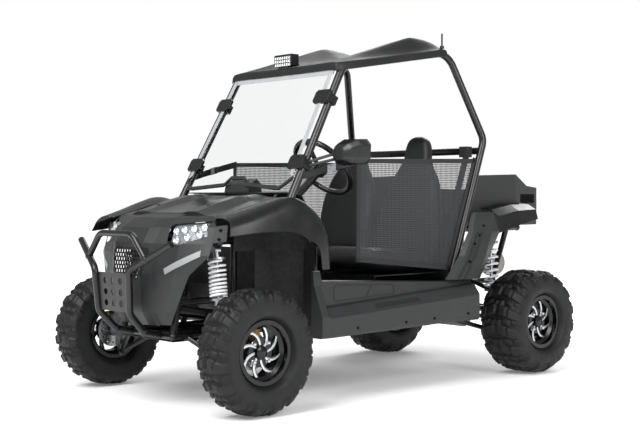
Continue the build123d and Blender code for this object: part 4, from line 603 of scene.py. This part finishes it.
add_piece("headlamp_modules", *joined([modules, mirrored(modules)]), silvered, "chassis", "damper_alloy")


# Fenders: satin black mouldings. The front arches are the CAD's own sections with their corners softened,
# in place of the flat-sided lofts. Grille, clamps, controls, antenna and work lamp share the finish.

smooth_plastic = new_finish("satin_black_plastic", "#0a0b0c", 0.3, Specular_IOR_Level=0.5)
weather(smooth_plastic, ("#08090a", "#0f1011"), 70, (0.25, 0.36))
grain(smooth_plastic, 6, 0.05, 2.0)
dress(smooth_plastic, "rear_fenders", "grille", "windscreen_clamps", "driver_controls",
      "steering_wheel", "antenna", "work_lamp")
ARCH = np.array([
    # x and z of the lower edge, lean, heights of inner edge, crest and shoulder, then the four y
    (1046, 772, 110, 76, 86, 70, 392.5, 450, 538, 562),
    (905, 786, 92, 88, 100, 84, 392.5, 470, 558, 582),
    (800, 790, 91, 114, 130, 114, 392.5, 490, 568, 589),
    (705, 786, 98, 144, 168, 152, 392.5, 505, 574, 592),
    (630, 752, 108, 158, 168, 148, 454.5, 522, 578, 592),
    (560, 716, 130, 104, 106, 98, 514.5, 538, 582, 592),
    (546, 612, 180, 66, 68, 64, 522.5, 540, 580, 590),
])
arch_lean = np.radians(ARCH[:, 2:3])
arch_high = np.concatenate([ARCH[:, 3:6], np.zeros((len(ARCH), 1))], axis=1)
arch_net = np.stack([ARCH[:, :1] + arch_high * np.cos(arch_lean), ARCH[:, 6:],
                     ARCH[:, 1:2] + arch_high * np.sin(arch_lean)], axis=-1)
arch = slab(soften(soften(arch_net[::-1], 2), 3, 1), 4)
arches = joined([arch, mirrored(arch)])
fenders = add_piece("fender_arches", *arches, smooth_plastic, "chassis", "black_smooth_plastic")
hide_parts("front_fenders")


# Roof: a moulded black panel with two smooth ridges and lips over the rails, in place of the flat-sided
# loft. It sits on the cage's rails.

roof_skin = new_finish("matt_roof_plastic", "#151617", 0.5, Specular_IOR_Level=0.35)
weather(roof_skin, ("#121314", "#1a1b1c"), 90, (0.46, 0.58))
grain(roof_skin, 3, 0.08)
STATIONS = np.array([
    # x, drop of the whole line, lift of the middle, lift of the ridges, half width
    (294, 36, 0, 2, 404), (293, 2, 0, 3, 405), (258, 0, 0, 4, 424), (100, 0, 0, 24, 424),
    (-250, 0, -6, 75, 424), (-290, 0, -6, 75, 424), (-420, 0, -4, 44, 424), (-462, 2, 0, 16, 424),
    (-466, 14, 0, 6, 423),
])
RAIL_FRONT, RAIL_REAR, ROOF_LIFT = (247, 1563), (-506, 1688), 23.8
along_rail = (STATIONS[:, 0] - RAIL_FRONT[0]) / (RAIL_REAR[0] - RAIL_FRONT[0])
rail = RAIL_FRONT[1] + (RAIL_REAR[1] - RAIL_FRONT[1]) * along_rail + ROOF_LIFT - STATIONS[:, 1]
middle, ridge, half = STATIONS[:, 2], STATIONS[:, 3], STATIONS[:, 4]
valley_and_ridge = np.broadcast_to([0, 150, 300, 326, 350], (len(half), 5))
cross_y = np.concatenate([valley_and_ridge, half[:, None] + (-28, -4, 0)], axis=1)
lip_z = rail - 40 + 0.8 * STATIONS[:, 1]
valley_z, ridge_z, crest_z = rail + middle, rail + ridge, rail + ridge * 1.04
cross_z = np.stack([valley_z, valley_z, ridge_z, crest_z, ridge_z, rail, rail - 4, lip_z], axis=-1)
half_net = np.stack([STATIONS[:, :1] + 0 * cross_y, cross_y, cross_z], -1)
roof_net = np.concatenate([half_net[:, :0:-1] * (1, -1, 1), half_net], axis=1)
roof = add_piece("roof_panel", *slab(soften(soften(roof_net[::-1], 2), 2, 1), 4), roof_skin, "chassis",
                 "black_smooth_plastic")
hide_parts("roof")


# Work lamp and mirror faces: rows of silvered cups set in the lamp's front, and a silvered glass in the
# mirror's rim.

led_y, led_z = np.meshgrid(np.linspace(-52, 52, 7), 1586 + np.array([12, 29, 46]))
leds = np.stack([np.full(led_y.size, 285.0), led_y.ravel(), led_z.ravel()], axis=-1)
CUP = [(7.6, 0), (7.6, 2.6), (6.4, 3), (3.4, 1.4), (0.5, 1.8)]
add_piece("work_lamp_cups", *lathe(CUP, leds, (1, 0, 0), 14), silvered, "chassis", "damper_alloy")


mirror_shell = new_finish("gloss_mirror_shell", "#121314", 0.24)
weather(mirror_shell, ("#0f1011", "#171819"), 60, (0.2, 0.3))
grain(mirror_shell, 5, 0.03, 22.0)
dress(mirror_shell, "side_mirror")
mirror_edge = np.array([
    (530, 1110), (552, 1086), (652, 1090), (676, 1112), (681, 1178), (656, 1204), (560, 1206), (534, 1188),
])
mirror_edge = (604, 1146) + (mirror_edge - (604, 1146)) * 0.87
mirror_face = np.stack([np.full(8, 334.5), mirror_edge[:, 0], mirror_edge[:, 1]], axis=-1)[::-1]
add_piece("mirror_glass", *plate(mirror_face, (3, 0, 0)), silvered, "chassis", "disc_steel")


# Tail lamps: pale moulded lenses under a thin clear coat.
# Each lies on one of the cargo tray's slanted rear corners.

tail_lens = new_finish("pale_tail_lens", "#d9d4d4", 0.2, Coat_Weight=0.5)
weather(tail_lens, ("#d2cccd", "#e0dcdc"), 10, (0.15, 0.28))
dress(tail_lens, "tail_lamps")


# Seats: foam buckets covered in black vinyl, on the seat base. Each is a cushion and a back with side
# bolsters and a domed headrest, swept through soft sections, in place of the plain solids.

vinyl = new_finish("black_seat_vinyl", "#121314", 0.48, Specular_IOR_Level=0.5)
weather(vinyl, ("#0f1011", "#171819"), 60, (0.42, 0.56))
grain(vinyl, 2.2, 0.15)


SEAT_Y = 240


def pad(rows, way, bolster):
    """A stuffed body: superellipse sections y = w |cos|^0.66, d = t |sin|^0.7 along a spine, fuller at
    the sides by bolster (y / w)^4 on its front, with small flat ends."""
    rows = soften(rows, 3)
    t = np.arange(48) * 2 * np.pi / 48
    c, s = np.cos(t), np.sin(t)
    y = np.sign(c) * np.abs(c) ** 0.66
    d = np.sign(s) * np.abs(s) ** 0.7
    d = d * (1 + bolster * y**4 * (s > 0))
    x, z, wide, thick = (rows[:, k:k + 1] for k in range(4))
    points = np.stack([x + way[0] * thick * d, SEAT_Y + wide * y, z + way[1] * thick * d], axis=-1)
    last = (len(rows) - 1) * 48
    walls = grid_quads(len(rows), 48, True)[:, ::-1]
    ends = [list(range(47, -1, -1)), list(range(last, last + 48))]
    return points.reshape(-1, 3), walls.tolist() + ends


BACK = [
    # x and z of the spine, half width, half thickness
    (-346, 612, 60, 8), (-348, 618, 150, 30), (-356, 650, 196, 44), (-372, 760, 203, 46), (-396, 900, 199, 44),
    (-420, 1010, 168, 40), (-434, 1080, 116, 38), (-442, 1124, 82, 38), (-450, 1184, 78, 40),
    (-456, 1232, 62, 34), (-459, 1252, 30, 16), (-460, 1254, 10, 5),
]
CUSHION = [
    # x and z of the spine, half width, half thickness
    (-344, 618, 60, 10), (-338, 620, 150, 36), (-310, 620, 196, 54), (-120, 624, 203, 56), (20, 634, 203, 58),
    (66, 638, 190, 50), (86, 634, 140, 30), (92, 630, 60, 10),
]
# The cushion's spine runs forward and the back's runs up, so the back's faces are turned over
back_points, back_faces = pad(BACK, (0.96, 0.2), 0.5)
back_part = (back_points, [face[::-1] for face in back_faces])
bucket = joined([back_part, pad(CUSHION, (-0.05, 1.0), 0.28)])
for name, part in (("left_seat", bucket), ("right_seat", mirrored(bucket))):
    cover = add_piece(name + "_cover", *part, vinyl, "chassis", "seat_vinyl", 1.2)
    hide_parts(name)


# Side nets: knitted black mesh stretched across each door opening, with a sewn webbing border and a strap
# with a plated buckle towards the front pillar. The holes are an alpha pattern, one per pitch.

webbing = new_finish("black_webbing", "#1a1b1c", 0.8)
weather(webbing, ("#161718", "#222325"), 6, (0.7, 0.9))
dress(webbing, "seat_belts")
net_mesh = new_finish("knitted_net", "#37383a", 0.8)
weather(net_mesh, ("#303133", "#424345"), 20, (0.7, 0.9))
net_place = add_node(net_mesh, "ShaderNodeTexCoord")
NET_PITCH = 9 * MM
waves = [
    add_node(net_mesh, "ShaderNodeTexWave", {"bands_direction": way, "Scale": 0.314 / NET_PITCH},
             {"Vector": net_place.outputs["Object"]})
    for way in ("X", "Z")
]
cords = [add_node(net_mesh, "ShaderNodeMath", {"operation": "GREATER_THAN", 1: 0.72}, {0: wave.outputs["Fac"]})
         for wave in waves]
knit = add_node(net_mesh, "ShaderNodeMath", {"operation": "MAXIMUM"},
                {0: cords[0].outputs[0], 1: cords[1].outputs[0]})
net_mesh.node_tree.links.new(knit.outputs[0], net_mesh.node_tree.nodes["Principled BSDF"].inputs["Alpha"])


def on_net(x, z, out):
    """Points in the net's plane: y grows evenly from the pillar back to the cage's leg."""
    return np.stack([x, 474 + 26 * (228 - x) / 868 + out, z], axis=-1)


net_corners = np.array([(235, 632), (228, 1120), (-596, 1137), (-396, 568)], float)
u, v = np.meshgrid(np.linspace(0, 1, 30), np.linspace(0, 1, 40), indexing="ij")
net_flat = ((1 - u) * (1 - v))[..., None] * net_corners[0] + (u * (1 - v))[..., None] * net_corners[1] \
    + (u * v)[..., None] * net_corners[2] + ((1 - u) * v)[..., None] * net_corners[3]
net_grid = on_net(net_flat[..., 0], net_flat[..., 1], 1.6)
net_part = slab(net_grid[:, ::-1], 1.2)
BORDER_WIDTH = 22
borders = []
for start, end in zip(net_corners, np.roll(net_corners, -1, axis=0)):
    s, t = np.meshgrid(np.linspace(0, 1, 24), np.linspace(0, 1, 3), indexing="ij")
    inward = net_corners.mean(axis=0) - (start + end) / 2
    line = (end - start) / np.linalg.norm(end - start)
    inward = inward - line * (inward @ line)
    inward = inward / np.linalg.norm(inward)
    band = start + (end - start) * s[..., None] + inward * BORDER_WIDTH * t[..., None]
    borders.append(slab(on_net(band[..., 0], band[..., 1], 3.4), 3.6))
strap_line = np.array([(210, 474, 1112), (330, 462, 1085), (440, 444, 1060), (540, 428, 1034)], float)
strap_rows = soften(strap_line, 2)
strap_grid = np.stack([strap_rows + (0, 4, 16), strap_rows + (0, 4, -16)], axis=1)
borders.append(slab(strap_grid, 2.5))
border_part = joined(borders)
net_sides = (("left", net_part, border_part), ("right", mirrored(net_part), mirrored(border_part)))
for hand, mesh_part, edge_part in net_sides:
    net = add_piece(hand + "_net", *mesh_part, net_mesh, "chassis", "webbing")
    edge = add_piece(hand + "_net_border", *edge_part, webbing, "chassis", "webbing")
    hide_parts("side_nets")
plated = new_finish("plated_buckle", "#c4c7ca", 0.22, Metallic=1.0)
weather(plated, ("#b8bbbe", "#d2d4d6"), 6, (0.16, 0.3))
buckle = slab(np.stack([soften([(352, 465, 1098), (376, 461, 1093), (398, 457, 1088)], 1),
                        soften([(352, 465, 1062), (376, 461, 1057), (398, 457, 1052)], 1)], axis=1), 5)
add_piece("net_buckles", *joined([buckle, mirrored(buckle)]), plated, "chassis", "disc_steel")


# Windscreen: clear hard-coated sheet with a rubber foot strip, and a pale painted band round its edge.
# Four clamps hold it to the front pillars.

clear_sheet = new_finish("clear_polycarbonate", "#f3f4f4", 0.02, Transmission_Weight=1.0, IOR=1.02)
weather(clear_sheet, ("#f1f2f2", "#f6f7f7"), 200, (0.01, 0.03))
dress(clear_sheet, "windscreen")
strip_rubber = new_finish("trim_rubber", "#1b1c1d", 0.6)
weather(strip_rubber, ("#171819", "#222324"), 25, (0.5, 0.7))
dress(strip_rubber, "windscreen_strip")
slope = np.array([-379, 0, 683]) / np.hypot(379, 683)
screen_normal = np.cross((0, 1, 0), slope)
screen_foot = np.array([626, 0, 880]) + screen_normal * 22
edge_paint = new_finish("pale_edge_paint", "#9a9da0", 0.5)
weather(edge_paint, ("#909396", "#a4a7aa"), 60, (0.44, 0.58))
SIDE_BAND = np.array([(408, 158), (381, 754), (353, 722), (382, 176)], float)
TOP_BAND = np.array([(381, 754), (-381, 754), (-353, 716), (353, 716)], float)
edge_bands = []
for outline in (SIDE_BAND, SIDE_BAND[::-1] * (-1, 1), TOP_BAND):
    across = outline[:, :1] * np.array([0, 1, 0])
    band_points = screen_foot + outline[:, 1:] * slope + screen_normal * 4.9 + across
    edge_bands.append(plate(band_points, -0.7 * screen_normal))
add_piece("screen_edge_bands", *joined(edge_bands), edge_paint, "chassis", "clear_screen")


# Studio: a pale floor that grows brighter away from the vehicle, three soft lamps and a white surround.
# Camera and transmission rays see a plain white world, other rays a dimmer one.

floor_half = 30.0
floor_mesh = bpy.data.meshes.new("studio_floor")
floor_corners = np.array([(-1, -1, 0), (1, -1, 0), (1, 1, 0), (-1, 1, 0)]) * floor_half
floor_mesh.from_pydata(floor_corners.tolist(), [], [(0, 1, 2, 3)])
floor = bpy.data.objects.new("studio_floor", floor_mesh)
bpy.context.scene.collection.objects.link(floor)
floor_paint = new_finish("matt_white_floor", "#f6f6f6", 0.9, Specular_IOR_Level=0.0)
floor_shader = floor_paint.node_tree.nodes["Principled BSDF"]
floor_shader.inputs["Emission Color"].default_value = linear("#ffffff")
floor_place = add_node(floor_paint, "ShaderNodeTexCoord")
floor_reach = add_node(floor_paint, "ShaderNodeVectorMath", {"operation": "LENGTH"},
                       {0: floor_place.outputs["Object"]})
glow_limits = {"From Min": 1.2, "From Max": 4.5, "To Min": 0.15, "To Max": 0.8}
floor_glow = add_node(floor_paint, "ShaderNodeMapRange", glow_limits, {"Value": floor_reach.outputs["Value"]})
floor_paint.node_tree.links.new(floor_glow.outputs["Result"], floor_shader.inputs["Emission Strength"])
floor_mesh.materials.append(floor_paint)

world = bpy.data.worlds.new("white_surround")
bpy.context.scene.world = world
world.use_nodes = True
world.node_tree.nodes.clear()
rays = add_node(world, "ShaderNodeLightPath")
clear_ray = add_node(world, "ShaderNodeMath", {"operation": "MAXIMUM"},
                     {0: rays.outputs["Is Camera Ray"], 1: rays.outputs["Is Transmission Ray"]})
soft = add_node(world, "ShaderNodeBackground", {"Color": linear("#ffffff"), "Strength": 0.42})
white = add_node(world, "ShaderNodeBackground", {"Color": linear("#ffffff"), "Strength": 1.0})
mix = add_node(world, "ShaderNodeMixShader", {},
               {0: clear_ray.outputs[0], 1: soft.outputs[0], 2: white.outputs[0]})
add_node(world, "ShaderNodeOutputWorld", {}, {"Surface": mix.outputs[0]})


def soft_box(name, place, aim, size, watts):
    """A square area lamp that faces a point: its own -Z is turned along the line from place to aim."""
    lamp = bpy.data.lights.new(name, "AREA")
    lamp.size = size
    lamp.energy = watts
    lamp_object = bpy.data.objects.new(name, lamp)
    way = np.array(aim) - np.array(place)
    flat = np.hypot(way[0], way[1])
    lamp_object.location = place
    lamp_object.rotation_euler = (np.arctan2(flat, -way[2]), 0, np.arctan2(way[1], way[0]) - np.pi / 2)
    bpy.context.scene.collection.objects.link(lamp_object)


soft_box("key_lamp", (4.5, 1.0, 5.0), (0.2, 0, 0.6), 4.0, 420)
soft_box("side_lamp", (0.5, 6.0, 3.5), (0, 0, 0.7), 3.0, 230)
soft_box("rear_lamp", (-5.0, -3.0, 4.5), (0, 0, 0.8), 4.0, 260)


# Camera: place, aim and field of view as fitted to the photograph, for a 640 by 447 picture.
# The Standard view keeps the colours as they are set.

EYE = (4.1028, 4.5651, 0.9418)
YAW, PITCH = 3.9848, -0.0228
FOCAL_PIXELS, PICTURE_WIDTH = 1187.9, 640
lens_data = bpy.data.cameras.new("photo_camera")
lens_data.sensor_fit = "HORIZONTAL"
lens_data.sensor_width = 36.0
lens_data.lens = FOCAL_PIXELS / PICTURE_WIDTH * lens_data.sensor_width
camera = bpy.data.objects.new("photo_camera", lens_data)
camera.location = EYE
camera.rotation_euler = (np.pi / 2 + PITCH, 0, YAW - np.pi / 2)
bpy.context.scene.collection.objects.link(camera)
bpy.context.scene.camera = camera
bpy.context.scene.view_settings.view_transform = "Standard"
